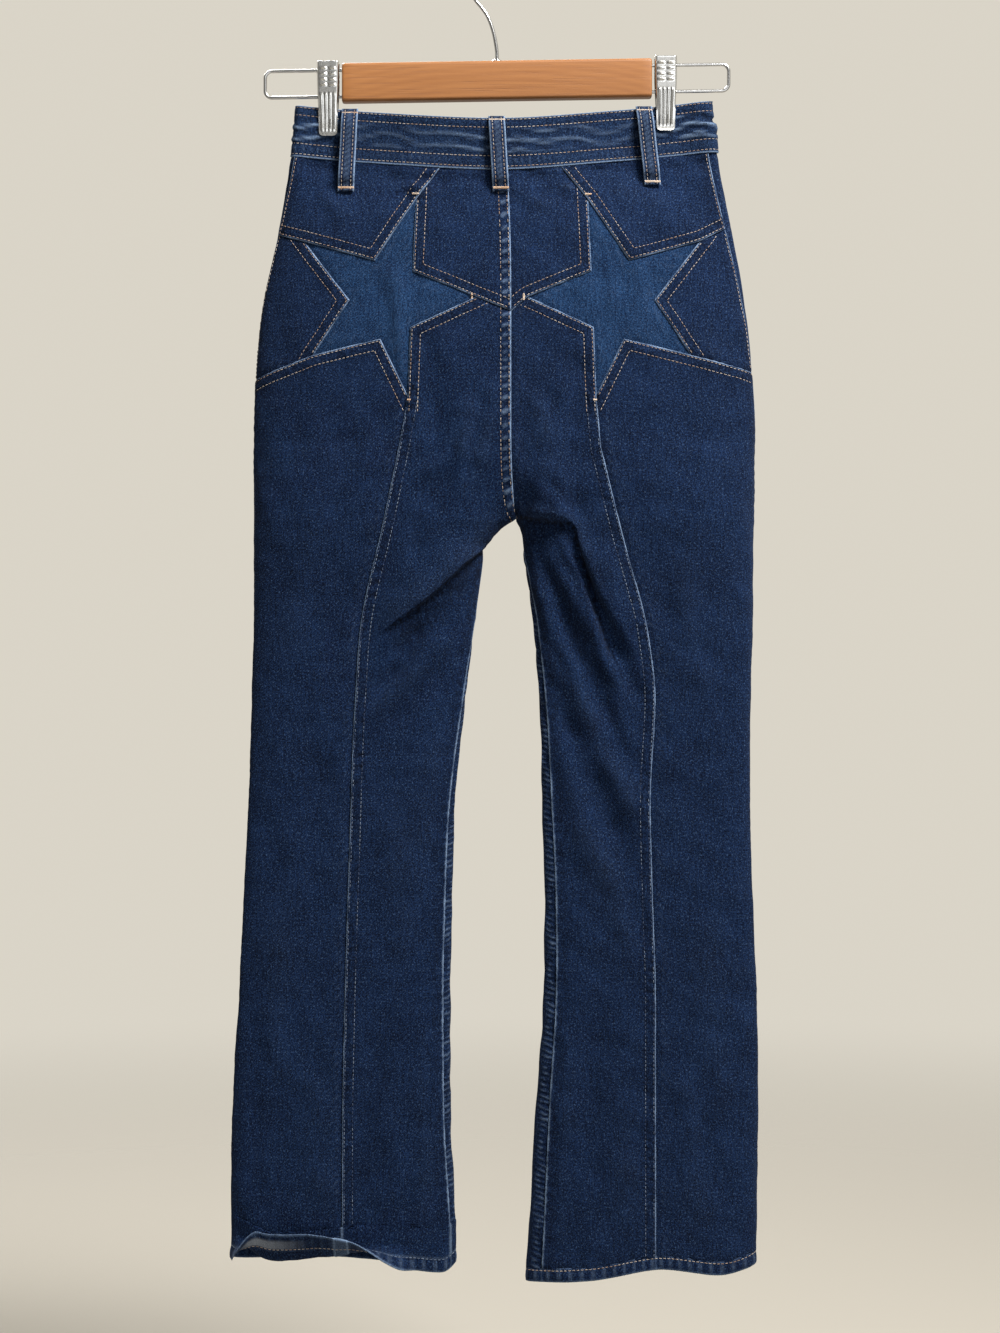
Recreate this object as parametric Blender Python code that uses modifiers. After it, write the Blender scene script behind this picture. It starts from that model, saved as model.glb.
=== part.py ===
# Flared jeans hung by the waistband from a wooden bar hanger with two metal clips.
# The back of the jeans faces -Y. The origin is the inner crest of the hanger's hook.
# Tables and named sizes are in millimetres; MM turns them into metres.
import math

import bmesh
import bpy
import numpy as np
from mathutils import Vector
from mathutils.geometry import delaunay_2d_cdt

MM = 0.001
LEFT = -1                 # the leg on the -X side
RIGHT = 1
SIDE_NAMES = {LEFT: "left", RIGHT: "right"}

SEAM_GAP = 0.3            # clear space between two pieces at a seam
DENIM = 1.5               # wall of one panel
BAND_DENIM = 2.4          # wall of the folded waistband and hems
BAND_LIFT = 0.6           # how far the waistband stands proud of the panels
BAND_HEIGHT = 44.0
HEM_DEPTH = 11.0
CURL_DEPTH = 36.0         # the band that turns outwards under the left leg
CROTCH = -472.5           # height of the crotch point
CROTCH_RISE = 62.0        # height over which the centre seam turns under
PATTERN_SPAN = 200.0      # millimetres that one sheet's width stands for on the flat pattern

# The centre seam, back and front: height and place across.
CENTRE_COLUMNS = ("height", "across")
CENTRE_SEAM = (
    (-105, 3.0),
    (-180, 9.0),
    (-240, 11.5),
    (-300, 12.0),
    (-400, 12.0),
    (-440, 13.0),
    (-472.5, 15.5),
)

# Each leg's folded edges: height, inner edge (below the crotch) and outer edge.
EDGE_COLUMNS = ("height", "inner", "outer")
LEG_EDGES = {
    LEFT: (
        (-105, 15.2, -169.5),
        (-172, 15.2, -176.0),
        (-236, 15.2, -187.0),
        (-287, 15.2, -197.5),
        (-360, 15.2, -205.0),
        (-472.5, 15.2, -206.5),
        (-491, -1.5, -206.5),
        (-504, -11.0, -206.5),
        (-542, -16.0, -206.5),
        (-627, -26.5, -208.5),
        (-712, -35.0, -211.0),
        (-797, -37.5, -215.5),
        (-882, -39.0, -219.5),
        (-967, -39.0, -224.5),
        (-1052, -35.5, -226.0),
        (-1120, -31.5, -225.0),
    ),
    RIGHT: (
        (-105, 15.8, 183.5),
        (-168, 15.8, 188.0),
        (-202, 15.8, 194.0),
        (-245, 15.8, 202.5),
        (-287, 15.8, 210.0),
        (-360, 15.8, 217.5),
        (-472.5, 15.8, 218.5),
        (-482, 20.0, 218.0),
        (-508, 23.0, 217.5),
        (-542, 28.0, 217.5),
        (-627, 35.5, 215.5),
        (-712, 38.0, 215.0),
        (-797, 40.0, 217.5),
        (-882, 39.0, 221.0),
        (-967, 33.0, 222.0),
        (-1052, 28.0, 221.0),
        (-1120, 24.0, 220.0),
    ),
}

# Half depth of the back and front sheets, and how square the section is.
DEPTH_COLUMNS = ("height", "back", "front", "square")
DEPTHS = (
    (-105, 18, 17, 3.0),
    (-180, 21, 19, 2.6),
    (-250, 28, 23, 2.4),
    (-330, 33, 26, 2.4),
    (-420, 31, 24, 2.6),
    (-472, 27, 21, 3.0),
    (-520, 21, 17, 3.4),
    (-600, 15, 13, 4.0),
    (-720, 12, 11, 4.5),
    (-880, 11, 10, 4.5),
    (-1000, 12, 11, 4.5),
    (-1120, 14, 13, 4.0),
)

# The waist is pinched flat at the clips, and gapes between them and at its ends.
PINCH = {
    "top": -150,          # above this height the section is the pinched one
    "bottom": -232,       # below this height it is the body's own
    "flat_from": 120.0,   # the stretch across that the clips press flat
    "flat_to": 155.0,
    "opening": 20.0,      # the stretch over which the ends open again
    "flat_depth": 2.25,
    "middle_depth": 17.0,
    "end_depth": 5.5,
    "end_square": 40,
}

# How far in from a folded edge the largest folds fade out.
FOLD_FADE = 22.0

# The largest folds, from one end to the other: height of the ridge and its width above and below.
FOLD_COLUMNS = ("sheet", "x0", "z0", "x1", "z1", "ridge", "above", "below")
FOLDS = (
    ("back", 12, -470, -92, -566, 9.0, 42, 13),
    ("back", 20, -468, 84, -492, 7.0, 34, 14),
    ("back", 66, -482, 124, -600, 6.0, 16, 22),
    ("back", 60, -520, 132, -740, 3.5, 12, 18),
    ("front", 30, -462, 120, -520, 6.0, 30, 16),
    ("front", 0, -464, -95, -528, 6.0, 30, 16),
)

# Waist lines: place across, and the top edge of the band behind and in front.
WAIST_COLUMNS = ("across", "back", "front")
WAIST_TOP = (
    (-190, -121.0, -121.0),
    (-171, -122.5, -122.5),
    (-117, -127.5, -132.0),
    (0, -136.0, -158.0),
    (117, -125.5, -131.0),
    (184, -119.0, -119.0),
    (200, -118.0, -118.0),
)

# A five-pointed star: each corner's direction from the centre seam's side, and its reach.
STAR_COLUMNS = ("corner", "angle", "reach")
STAR = (
    ("tip_top", 72, 88),
    ("notch_centre_top", 42, 33),
    ("tip_centre", 0, 78),
    ("notch_centre_low", -48, 34),
    ("tip_low", -76, 85),
    ("notch_side_low", -94, 35),
    ("tip_side_low", -141, 76),
    ("notch_side", 184, 28.5),
    ("tip_side_top", 144, 83),
    ("notch_side_top", 103, 32),
)
STAR_CENTRE = {LEFT: (-95.5, -289.0), RIGHT: (104.0, -289.0)}

# Where the seams that leave the star's tips end.
WAIST_SEAM = {LEFT: -48.0, RIGHT: 54.0}
SIDE_SEAM_TOP = {LEFT: -233.0, RIGHT: -228.0}
SIDE_SEAM_LOW = {LEFT: -358.0, RIGHT: -350.0}
CENTRE_JOIN = -301.0

# The long seam down the back of each leg, below the star's low tip: height and place across.
LEG_SEAM_COLUMNS = ("height", "across")
LEG_SEAMS = {
    LEFT: (
        (-415, -82.5),
        (-483, -97.0),
        (-559, -114.5),
        (-627, -120.0),
        (-755, -125.0),
        (-882, -129.0),
        (-1010, -131.0),
        (-1120, -131.0),
    ),
    RIGHT: (
        (-415, 87.5),
        (-483, 104.5),
        (-576, 128.5),
        (-627, 134.0),
        (-712, 130.0),
        (-797, 132.0),
        (-882, 134.5),
        (-1120, 134.5),
    ),
}

# How far the side seam lies in from the outer fold, on the back (negative: on the front),
# and the inseam from the inner fold.
SEAM_COLUMNS = ("height", "side", "inseam")
SEAM_PLACES = {
    LEFT: (
        (-105, 7, 0),
        (-236, 3, 0),
        (-360, -3, 0),
        (-472.5, -7, 0),
        (-504, -7, 1),
        (-627, -7, 5),
        (-712, -7, 7.5),
        (-1120, -7, 8),
    ),
    RIGHT: (
        (-105, 11, 0),
        (-236, 9, 0),
        (-360, 2, 0),
        (-472.5, -6, 0),
        (-504, -7, 4),
        (-627, -7, 9),
        (-755, -7, 12),
        (-930, -7, 14),
        (-1120, -7, 17),
    ),
}

# Lowest edge of each leg: place across, behind and in front.
HEM_COLUMNS = ("across", "back", "front")
HEM_LINES = {
    LEFT: (
        (-230, -1108.0, -1104.0),
        (-188, -1121.0, -1103.0),
        (-140, -1119.0, -1103.0),
        (-108, -1113.0, -1105.0),
        (-75, -1110.0, -1108.0),
        (-45, -1112.0, -1108.0),
        (-28, -1101.0, -1100.0),
    ),
    RIGHT: (
        (20, -1121.0, -1117.0),
        (84, -1118.0, -1116.0),
        (140, -1109.0, -1110.0),
        (190, -1114.0, -1110.0),
        (224, -1105.0, -1104.0),
    ),
}

# The left hem turns outwards behind: share of the back sheet, and the turn in degrees.
CURL_COLUMNS = ("share", "turn")
CURL = (
    (0.00, 0),
    (0.18, 0),
    (0.34, 75),
    (0.48, 128),
    (0.68, 146),
    (0.84, 150),
    (0.93, 60),
    (0.98, 0),
    (1.00, 0),
)
CURL_EXTRA_SHARES = (0.25, 0.30, 0.40, 0.45, 0.57, 0.72, 0.84, 0.92)
CURL_LEVELS = (0.0, 0.2, 0.34, 0.42, 0.5, 0.58, 0.78, 1.0)
CURL_BEND = (0.3, 0.6)    # the stretch of the band in which it bends

# Belt loops: sheet, place across at the top and the bottom, drop below the waistband, and how far
# the middle of the loop stands off the waistband.
LOOP_COLUMNS = ("name", "sheet", "x_top", "x_bottom", "drop", "stand")
LOOPS = (
    ("belt_loop_back_left", "back", -124.6, -127.8, 27, 6.4),
    ("belt_loop_back_centre", "back", -0.4, 3.4, 19, 5.6),
    ("belt_loop_back_right", "back", 124.6, 131.8, 24, 6.4),
    ("belt_loop_front_left", "front", -98.0, -100.0, 22, 8.6),
    ("belt_loop_front_right", "front", 100.0, 102.0, 22, 8.6),
)
LOOP_WIDTH = 14.0
LOOP_DENIM = 2.2
LOOP_SEAT = 0.48          # clear space under a loop's sewn ends
LOOP_RISE = 1.0           # how far a loop's top stands above the waistband
LOOP_LEVELS = (0, 0.05, 0.13, 0.25, 0.5, 0.72, 0.84, 0.93, 1.0)
LOOP_ARCH = (0, 0.1, 0.7, 1, 1, 1, 0.75, 0.12, 0)
FLY_WIDTH = 38.0
FLY_END = -348.0
FLY_INSET = 0.8           # from the centre seam
BUTTON_RADIUS = 8.5
BUTTON_THICK = 3.0
BUTTON_RIM = 0.8
BUTTON_SHANK = 0.7        # clear space between the button and the waistband
BUTTON_INSET = 16.0       # from the centre seam, along the cloth

# Hanger.
TILT = math.radians(0.9)
BAR_LENGTH = 263.0
BAR_HEIGHT = 33.0
BAR_THICKNESS = 14.0
BAR_CENTRE = -101.5
BAR_ROUND = 3.0
WIRE = 3.0
WIRE_SIDES = 2
WIRE_SPACING = 22.5
ROD_REACH = 198.5
ROD_ROUND = 6.0
ROD_BEND = 30.0           # how far past the bar the rods run straight at least
SOCKET_DEPTH = 12.0
HOOK_RADIUS = 22.0
HOOK_WIRE = 3.2
HOOK_TURN = (-20, 222)    # the arc of the crook, in degrees
HOOK_NECK = ((-14.6, -36.8), (-8.5, -45.5), (-4.2, -56.0), (-1.3, -68.0), (0.0, -80.0), (0.0, -96.0))
CLIP_PLACE = 143.3
CLIP_TOP = 18.0           # above the bar's middle
CLIP_LENGTH = 63.0
CLIP_WIDTH = 18.6
CLIP_TAPER = 3.2          # how much narrower a plate is at its foot
CLIP_STEEL = 0.9
CLIP_RIBS = 4
CLIP_RIB = 1.0
CLIP_HEAD = 7.4           # from the hanger's middle plane to the inside of a plate's head
CLIP_LIP = 0.8
SADDLE = (13.0, 12.4, 30.0)
HOOK_SOCKET = 26.0        # length and middle height of the cutter for the hook's socket
HOOK_SOCKET_MIDDLE = -84.5

# The leg's surface is kept as sections this far apart.
SECTION_STEP = 4.0
SECTION_SAMPLES = 121

# Longest step along each kind of seam, and where the search for a line's height starts.
STAR_STEP = 14.0
RAY_STEP = 16.0
CENTRE_STEP = 20.0
INSEAM_STEP = 26.0
LEG_SEAM_STEP = 32.0
FLY_STEP = 24.0
CENTRE_TURN = 40.0        # the height over which the centre seam closes on the crotch
WAIST_GUESS = -150.0
HEM_GUESS = -1095.0
SEARCH_ROUNDS = 8

# Mesh lattice: shares of a sheet's width where columns stand, and heights of the rows.
HALF_COLUMNS = (0.0, 0.014, 0.045, 0.11, 0.21, 0.35, 0.50, 0.65, 0.79, 0.89, 0.955, 0.986, 1.0)
UPPER_ROW = 22.0
LOWER_ROW = 38.0
WAIST_ROW = -105.0
LOWEST_ROW = -1130.0


def column(table, names, name):
    """One named column of a table, as an array."""
    place = names.index(name)
    return np.array([row[place] for row in table], dtype=float)


def smooth_curve(knots, values, at):
    """A cubic curve through a table's values, with slopes taken from the neighbouring knots."""
    order = np.argsort(knots)
    knots, values = knots[order], values[order]
    at = np.clip(at, knots[0], knots[-1])
    slopes = np.gradient(values, knots)
    steps = np.diff(values) / np.diff(knots)
    turns = np.append(steps[:1], steps) * np.append(steps, steps[-1:])
    slopes = np.where(turns <= 0, 0.0, slopes)
    cell = np.clip(np.searchsorted(knots, at, side="right") - 1, 0, len(knots) - 2)
    width = knots[cell + 1] - knots[cell]
    u = (at - knots[cell]) / width
    start = (1 + 2 * u) * (1 - u) ** 2 * values[cell] + u * (1 - u) ** 2 * width * slopes[cell]
    end = u * u * (3 - 2 * u) * values[cell + 1] + u * u * (u - 1) * width * slopes[cell + 1]
    return start + end


def read_table(table, names, name, at):
    """A named column of a table, read at places along its first column."""
    places = column(table, names, names[0])
    return smooth_curve(places, column(table, names, name), np.asarray(at, dtype=float))


def ease(value):
    """A smooth step from 0 to 1."""
    value = np.clip(value, 0.0, 1.0)
    return value * value * (3 - 2 * value)


def fold_height(sheet, x, z):
    """How far the largest folds lift a sheet at x, z."""
    lift = np.zeros_like(x)
    for row in FOLDS:
        fold = dict(zip(FOLD_COLUMNS, row))
        if fold["sheet"] != sheet:
            continue
        run = np.array((fold["x1"] - fold["x0"], fold["z1"] - fold["z0"]))
        length = np.hypot(*run)
        along = ((x - fold["x0"]) * run[0] + (z - fold["z0"]) * run[1]) / length
        away = ((x - fold["x0"]) * run[1] - (z - fold["z0"]) * run[0]) / length
        away = away * np.sign(-run[0])
        width = np.where(away > 0, fold["above"], fold["below"])
        ends = ease(1.25 * (1 - np.abs(2 * along / length - 1)))
        lift += fold["ridge"] * np.exp(-((away / width) ** 2)) * ends
    return lift


def pinched_depth(x, share):
    """Half depth of the waist where the clips hold it."""
    inner = np.clip(1 - (x / PINCH["flat_from"]) ** 2, 0, 1) ** 1.5
    outer = ease((np.abs(x) - PINCH["flat_to"]) / PINCH["opening"])
    depth = PINCH["flat_depth"] + (PINCH["middle_depth"] - PINCH["flat_depth"]) * inner
    depth = depth + (PINCH["end_depth"] - PINCH["flat_depth"]) * outer
    return depth * np.sqrt(1 - np.abs(share) ** PINCH["end_square"])


class Leg:
    """One half of the jeans as a surface P(a, z). a runs from 0 at the centre seam or inner fold, over
    the back to 1 at the outer fold, and over the front to 2; z is the height."""

    heights = np.arange(LOWEST_ROW, WAIST_ROW + 0.1, SECTION_STEP)
    samples = SECTION_SAMPLES

    def __init__(self, side):
        self.side = side
        self.shares = np.linspace(0, 2, 2 * self.samples - 1)
        rows = [self.section(z) for z in self.heights]
        self.grid_x = np.array([row[0] for row in rows])
        self.grid_y = np.array([row[1] for row in rows])
        self.back_length = np.array([row[2] for row in rows])
        self.front_length = np.array([row[3] for row in rows])

    def inner_edge(self, z):
        """The centre seam above the crotch, the leg's inner fold below it."""
        above = read_table(CENTRE_SEAM, CENTRE_COLUMNS, "across", z)
        below = read_table(LEG_EDGES[self.side], EDGE_COLUMNS, "inner", z)
        return np.where(z > CROTCH, above, below)

    def section(self, z):
        """The closed loop at one height, evenly spaced along its back and its front."""
        inner = self.inner_edge(np.array(z))
        outer = read_table(LEG_EDGES[self.side], EDGE_COLUMNS, "outer", z)
        square = read_table(DEPTHS, DEPTH_COLUMNS, "square", z)
        turned = np.clip((CROTCH + CROTCH_RISE - z) / CROTCH_RISE, 0, 1)
        start = -(turned ** (2 / square))
        angle = np.linspace(math.acos(-start), math.pi, 400)
        t = -np.cos(angle)
        x = inner + (outer - inner) * (t - start) / (1 - start)
        rounded = np.sqrt(np.clip(1 - np.abs(t) ** square, 0, 1))
        pinch = ease((z - PINCH["bottom"]) / (PINCH["top"] - PINCH["bottom"]))
        sheets = []
        for sheet, sign in (("back", -1), ("front", 1)):
            depth = rounded * read_table(DEPTHS, DEPTH_COLUMNS, sheet, z)
            share = np.clip((t - start) / (1 - start), 0, 1)
            depth = (1 - pinch) * depth + pinch * pinched_depth(x, share)
            edge = ease(np.abs(outer - x) / FOLD_FADE)
            if z < CROTCH + CROTCH_RISE:
                edge = edge * ease(0.25 + np.abs(x - inner) / FOLD_FADE)
            depth = depth + fold_height(sheet, x, np.full_like(x, z)) * edge
            length = np.append(0, np.cumsum(np.hypot(np.diff(x), np.diff(depth))))
            even = np.linspace(0, length[-1], self.samples)
            sheets.append((np.interp(even, length, x), sign * np.interp(even, length, depth), length[-1]))
        (back_x, back_y, back_length), (front_x, front_y, front_length) = sheets
        loop_x = np.append(back_x, front_x[-2::-1])
        loop_y = np.append(back_y, front_y[-2::-1])
        return loop_x, loop_y, back_length, front_length

    def read(self, grid, a, z):
        """A grid read between its own rows and columns."""
        a = np.where(np.asarray(z) < CROTCH, np.mod(a, 2.0), np.clip(a, 0.0, 2.0))
        column_place = np.clip(a / 2 * (len(self.shares) - 1), 0, len(self.shares) - 1.001)
        row_place = np.clip((z - self.heights[0]) / SECTION_STEP, 0, len(self.heights) - 1.001)
        c, r = column_place.astype(int), row_place.astype(int)
        u, v = column_place - c, row_place - r
        low = grid[r, c] * (1 - u) + grid[r, c + 1] * u
        high = grid[r + 1, c] * (1 - u) + grid[r + 1, c + 1] * u
        return low * (1 - v) + high * v

    def point(self, a, z, lift=0.0):
        """Points on the cloth's outside, moved out by lift along the section's normal."""
        a, z = np.asarray(a, dtype=float), np.asarray(z, dtype=float)
        place = np.stack([self.read(self.grid_x, a, z), self.read(self.grid_y, a, z), z], axis=-1)
        return place + self.normal(a, z) * np.asarray(lift)[..., None]

    def normal(self, a, z):
        """The level normal of the section, pointing out of the cloth."""
        step = 0.012
        low, high = a - step, a + step
        above = z >= CROTCH
        low = np.where(above, np.clip(low, 0, 2), low)
        high = np.where(above, np.clip(high, 0, 2), high)
        dx = self.read(self.grid_x, high, z) - self.read(self.grid_x, low, z)
        dy = self.read(self.grid_y, high, z) - self.read(self.grid_y, low, z)
        size = np.hypot(dx, dy)
        return self.side * np.stack([dy / size, -dx / size, np.zeros_like(dx)], axis=-1)

    def share_at(self, x, z, sheet="back"):
        """The share a of the back or front sheet that lies at x, z."""
        start = 0 if sheet == "back" else self.samples - 1
        span = slice(start, start + self.samples)
        order = 1 if sheet == "back" else -1
        shares = self.shares[span][::order]
        places = np.atleast_1d((np.asarray(z, dtype=float) - self.heights[0]) / SECTION_STEP)
        found = []
        for one_x, place in zip(np.atleast_1d(x), np.clip(places, 0, len(self.heights) - 1.001)):
            row = int(place)
            level = place - row
            across = (1 - level) * self.grid_x[row, span] + level * self.grid_x[row + 1, span]
            found.append(np.interp(self.side * one_x, self.side * across[::order], shares))
        return np.array(found)

    def side_share(self, z):
        """The side seam's share: short of the outer fold on the back, past it on the front."""
        offset = read_table(SEAM_PLACES[self.side], SEAM_COLUMNS, "side", z)
        back = np.interp(z, self.heights, self.back_length)
        front = np.interp(z, self.heights, self.front_length)
        return 1 - offset / np.where(offset > 0, back, front)

    def inseam_share(self, z):
        """The inseam's share, in from the inner fold on the back."""
        offset = read_table(SEAM_PLACES[self.side], SEAM_COLUMNS, "inseam", z)
        return offset / np.interp(z, self.heights, self.back_length)


def waist_height(x, sheet, drop=0.0):
    """The waistband's top edge, or a line that lies drop below it."""
    return read_table(WAIST_TOP, WAIST_COLUMNS, sheet, x) - drop


def hem_height(side, x, sheet, rise=0.0):
    """A leg's lowest edge, or a line that lies rise above it."""
    return read_table(HEM_LINES[side], HEM_COLUMNS, sheet, x) + rise


def steps_between(start, end, longest):
    """How many steps of at most the longest size fit between two places."""
    return max(1, math.ceil(abs(end - start) / longest))


class Pattern:
    """The seams of one half of the jeans, as lines of (share, height) that neighbouring panels share."""

    def __init__(self, leg):
        self.leg = leg
        side = leg.side
        self.hem_rise = (CURL_DEPTH if side == LEFT else HEM_DEPTH) + SEAM_GAP
        self.corners = self.star_corners()
        corners = self.corners
        x_at_waist = WAIST_SEAM[side]
        top = float(waist_height(x_at_waist, "back", BAND_HEIGHT))
        self.waist_join = np.array((self.leg.share_at(x_at_waist, top)[0], top))
        self.side_top = self.on_side(SIDE_SEAM_TOP[side])
        self.side_low = self.on_side(SIDE_SEAM_LOW[side])
        self.centre_join = np.array((0.0, CENTRE_JOIN))
        self.side_waist = self.side_at_waist()
        self.centre_waist = self.centre_at_waist("back")
        self.centre_waist_front = self.centre_at_waist("front")
        self.star = self.line([corners[row[0]] for row in STAR] + [corners[STAR[0][0]]], STAR_STEP)
        self.waist_ray = self.line([self.waist_join, corners["tip_top"]], STAR_STEP)
        self.centre_ray = self.line([corners["tip_centre"], self.centre_join], STAR_STEP)
        self.low_ray = self.line([corners["tip_side_low"], self.side_low], RAY_STEP)
        self.top_ray = self.line([corners["tip_side_top"], self.side_top], RAY_STEP)

    def on_side(self, z):
        return np.array((float(self.leg.side_share(z)), z))

    def leg_seam_share(self, z):
        """The long back seam's share at a height."""
        x = read_table(LEG_SEAMS[self.leg.side], LEG_SEAM_COLUMNS, "across", z)
        return self.leg.share_at(x, z)

    def foot_at_hem(self, share_of):
        """Where a seam, given as its share at a height, reaches the hem's top line."""
        z = HEM_GUESS
        for _ in range(SEARCH_ROUNDS):
            share = float(np.ravel(share_of(z))[0])
            z = float(self.hem_height_at(np.array([share]))[0])
        return float(np.ravel(share_of(z))[0]), z

    def side_at_waist(self):
        """Where the side seam reaches the waistband."""
        z = WAIST_GUESS
        for _ in range(SEARCH_ROUNDS):
            share = float(self.leg.side_share(z))
            z = float(waist_at(self.leg, np.array([share]), "back", BAND_HEIGHT)[0])
        return np.array((share, z))

    def centre_at_waist(self, sheet):
        """Where the centre seam reaches the waistband."""
        share = 0.0 if sheet == "back" else 2.0
        return np.array((share, float(waist_at(self.leg, np.array([share]), sheet, BAND_HEIGHT)[0])))

    def star_corners(self):
        """The star's corners as shares and heights, mirrored from one leg to the other."""
        centre_x, centre_z = STAR_CENTRE[self.leg.side]
        corners = {}
        for name, angle, reach in STAR:
            x = centre_x - self.leg.side * reach * math.cos(math.radians(angle))
            z = centre_z + reach * math.sin(math.radians(angle))
            corners[name] = np.array((self.leg.share_at(x, z)[0], z))
        return corners

    def line(self, corners, longest):
        """Straight runs between corners on the flat pattern, cut into steps."""
        points = [np.asarray(corners[0])]
        for start, end in zip(corners[:-1], corners[1:]):
            size = np.hypot((end[0] - start[0]) * PATTERN_SPAN, end[1] - start[1])
            count = max(1, math.ceil(size / longest))
            for step in range(1, count + 1):
                points.append(start + (end - start) * step / count)
        return np.array(points)

    def star_run(self, first, last):
        """The star's edge from one named corner to another, in the order of its table."""
        corners = self.corners
        names = [row[0] for row in STAR]
        start, end = names.index(first), names.index(last)
        if end <= start:
            end += len(names)
        run = [corners[names[place % len(names)]] for place in range(start, end + 1)]
        return self.line(run, STAR_STEP)

    def heights(self, start, end):
        longest = UPPER_ROW if start > CROTCH else LOWER_ROW
        return np.linspace(start, end, steps_between(start, end, longest) + 1)

    def side_seam(self, start, end):
        z = self.heights(start, end)
        return np.stack([self.leg.side_share(z), z], axis=-1)

    def centre_seam(self, start, end, share=0.0):
        z = np.linspace(start, end, steps_between(start, end, CENTRE_STEP) + 1)
        if end <= CROTCH:
            turned = np.linspace(0, 1, 7)[1:] ** 0.6
            z = np.append(z[z > CROTCH + CENTRE_TURN], CROTCH + CENTRE_TURN * (1 - turned))
        return np.stack([np.full_like(z, share), z], axis=-1)

    def inseam(self, end, front=False):
        z = np.linspace(CROTCH, end, steps_between(CROTCH, end, INSEAM_STEP) + 1)
        share = self.leg.inseam_share(z) + (2.0 if front else 0.0)
        return np.stack([share, z], axis=-1)

    def leg_seam(self, end):
        """The long back seam, from the star's low tip to the hem."""
        table = LEG_SEAMS[self.leg.side]
        z = np.linspace(table[0][0], end, steps_between(table[0][0], end, LEG_SEAM_STEP) + 1)
        seam = np.stack([self.leg_seam_share(z), z], axis=-1)
        return np.concatenate([[self.corners["tip_low"]], seam])

    def hem_shares(self):
        """The shares at which the hem's line has its corners, seams included."""
        seams = (self.leg.inseam_share, self.leg_seam_share, self.leg.side_share)
        feet = np.mod([self.foot_at_hem(seam)[0] for seam in seams], 2.0)
        half = np.array(HALF_COLUMNS)[:-1]
        columns = np.concatenate([half, 1 + half])
        if self.leg.side == LEFT:
            columns = np.sort(np.append(columns, CURL_EXTRA_SHARES))
        clear = np.abs(columns[:, None] - feet).min(axis=1) > 0.008
        return np.sort(np.append(columns[clear], feet))

    def hem_line(self, start_share, end_share):
        """The line along the top of the hem between two shares."""
        shares = self.hem_shares()
        shares = np.append(shares, shares + 2.0)
        low, high = min(start_share, end_share), max(start_share, end_share)
        shares = np.concatenate([[low], shares[(shares > low + 0.002) & (shares < high - 0.002)], [high]])
        shares = shares if start_share < end_share else shares[::-1]
        return np.stack([shares, self.hem_height_at(shares)], axis=-1)

    def hem_height_at(self, shares, rise=None):
        """The height of the hem's top line, blended from back to front over the folds."""
        rise = self.hem_rise if rise is None else rise
        around = np.mod(shares, 2.0)
        x = self.leg.point(around, np.full_like(around, HEM_GUESS))[..., 0]
        back = hem_height(self.leg.side, x, "back", rise)
        front = hem_height(self.leg.side, x, "front", rise)
        toward_front = ease((around - 0.94) / 0.12) * (1 - ease((around - 1.94) / 0.06))
        return back * (1 - toward_front) + front * toward_front

    def waist_shares(self, low, high):
        """The shares at which the waistband has its corners, between two of its own."""
        columns = lattice_columns()
        own = np.array([low, self.waist_join[0], high])
        own = own[(own >= low) & (own <= high)]
        clear = np.abs(columns[:, None] - own).min(axis=1) > 0.012
        return np.sort(np.append(columns[clear & (columns > low) & (columns < high)], own))

    def waist_line(self, start, end, sheet):
        """The line under the waistband from one share to another."""
        shares = self.waist_shares(min(start, end), max(start, end))
        shares = shares if start < end else shares[::-1]
        return np.stack([shares, waist_at(self.leg, shares, sheet, BAND_HEIGHT)], axis=-1)


def waist_at(leg, shares, sheet, drop=0.0):
    """The height of the waistband's top edge at each share, or of a line that lies drop below it."""
    z = np.full_like(shares, WAIST_GUESS)
    for _ in range(SEARCH_ROUNDS):
        z = waist_height(leg.point(shares, z)[..., 0], sheet, drop)
    return z


def join_lines(*lines):
    """Lines joined end to end into one closed outline, without doubled points."""
    points = np.concatenate(lines)
    kept = [points[0]]
    for point in points[1:]:
        size = np.hypot((point[0] - kept[-1][0]) * PATTERN_SPAN, point[1] - kept[-1][1])
        if size > 0.5:
            kept.append(point)
    last = np.hypot((kept[0][0] - kept[-1][0]) * PATTERN_SPAN, kept[0][1] - kept[-1][1])
    return np.array(kept[:-1] if last <= 0.5 else kept)


def inset(outline, distance):
    """A closed outline moved in by a distance, on the flat pattern in millimetres."""
    flat = outline * np.array((PATTERN_SPAN, 1.0))
    following = np.roll(flat, -1, axis=0)
    turning = np.sum(flat[:, 0] * following[:, 1] - following[:, 0] * flat[:, 1])
    along = following - flat
    along = along / np.linalg.norm(along, axis=1, keepdims=True)
    inward = np.stack([-along[:, 1], along[:, 0]], axis=-1) * np.sign(turning)
    before = np.roll(inward, 1, axis=0)
    corner = inward + before
    corner = corner / np.maximum(np.sum(corner * corner, axis=1, keepdims=True), 0.2) * 2
    return (flat + corner * distance) / np.array((PATTERN_SPAN, 1.0))


def lattice_columns():
    """Shares where the columns of the mesh lattice stand, over back and front."""
    half = np.array(HALF_COLUMNS)
    return np.concatenate([half, 1 + half[1:], 2 + half[1:5]])


def lattice_rows():
    """Heights where the rows of the mesh lattice stand."""
    upper = np.arange(WAIST_ROW, CROTCH - 40, -UPPER_ROW)
    lower = np.arange(upper[-1] - LOWER_ROW, LOWEST_ROW, -LOWER_ROW)
    return np.concatenate([upper, lower])[::-1]


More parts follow.
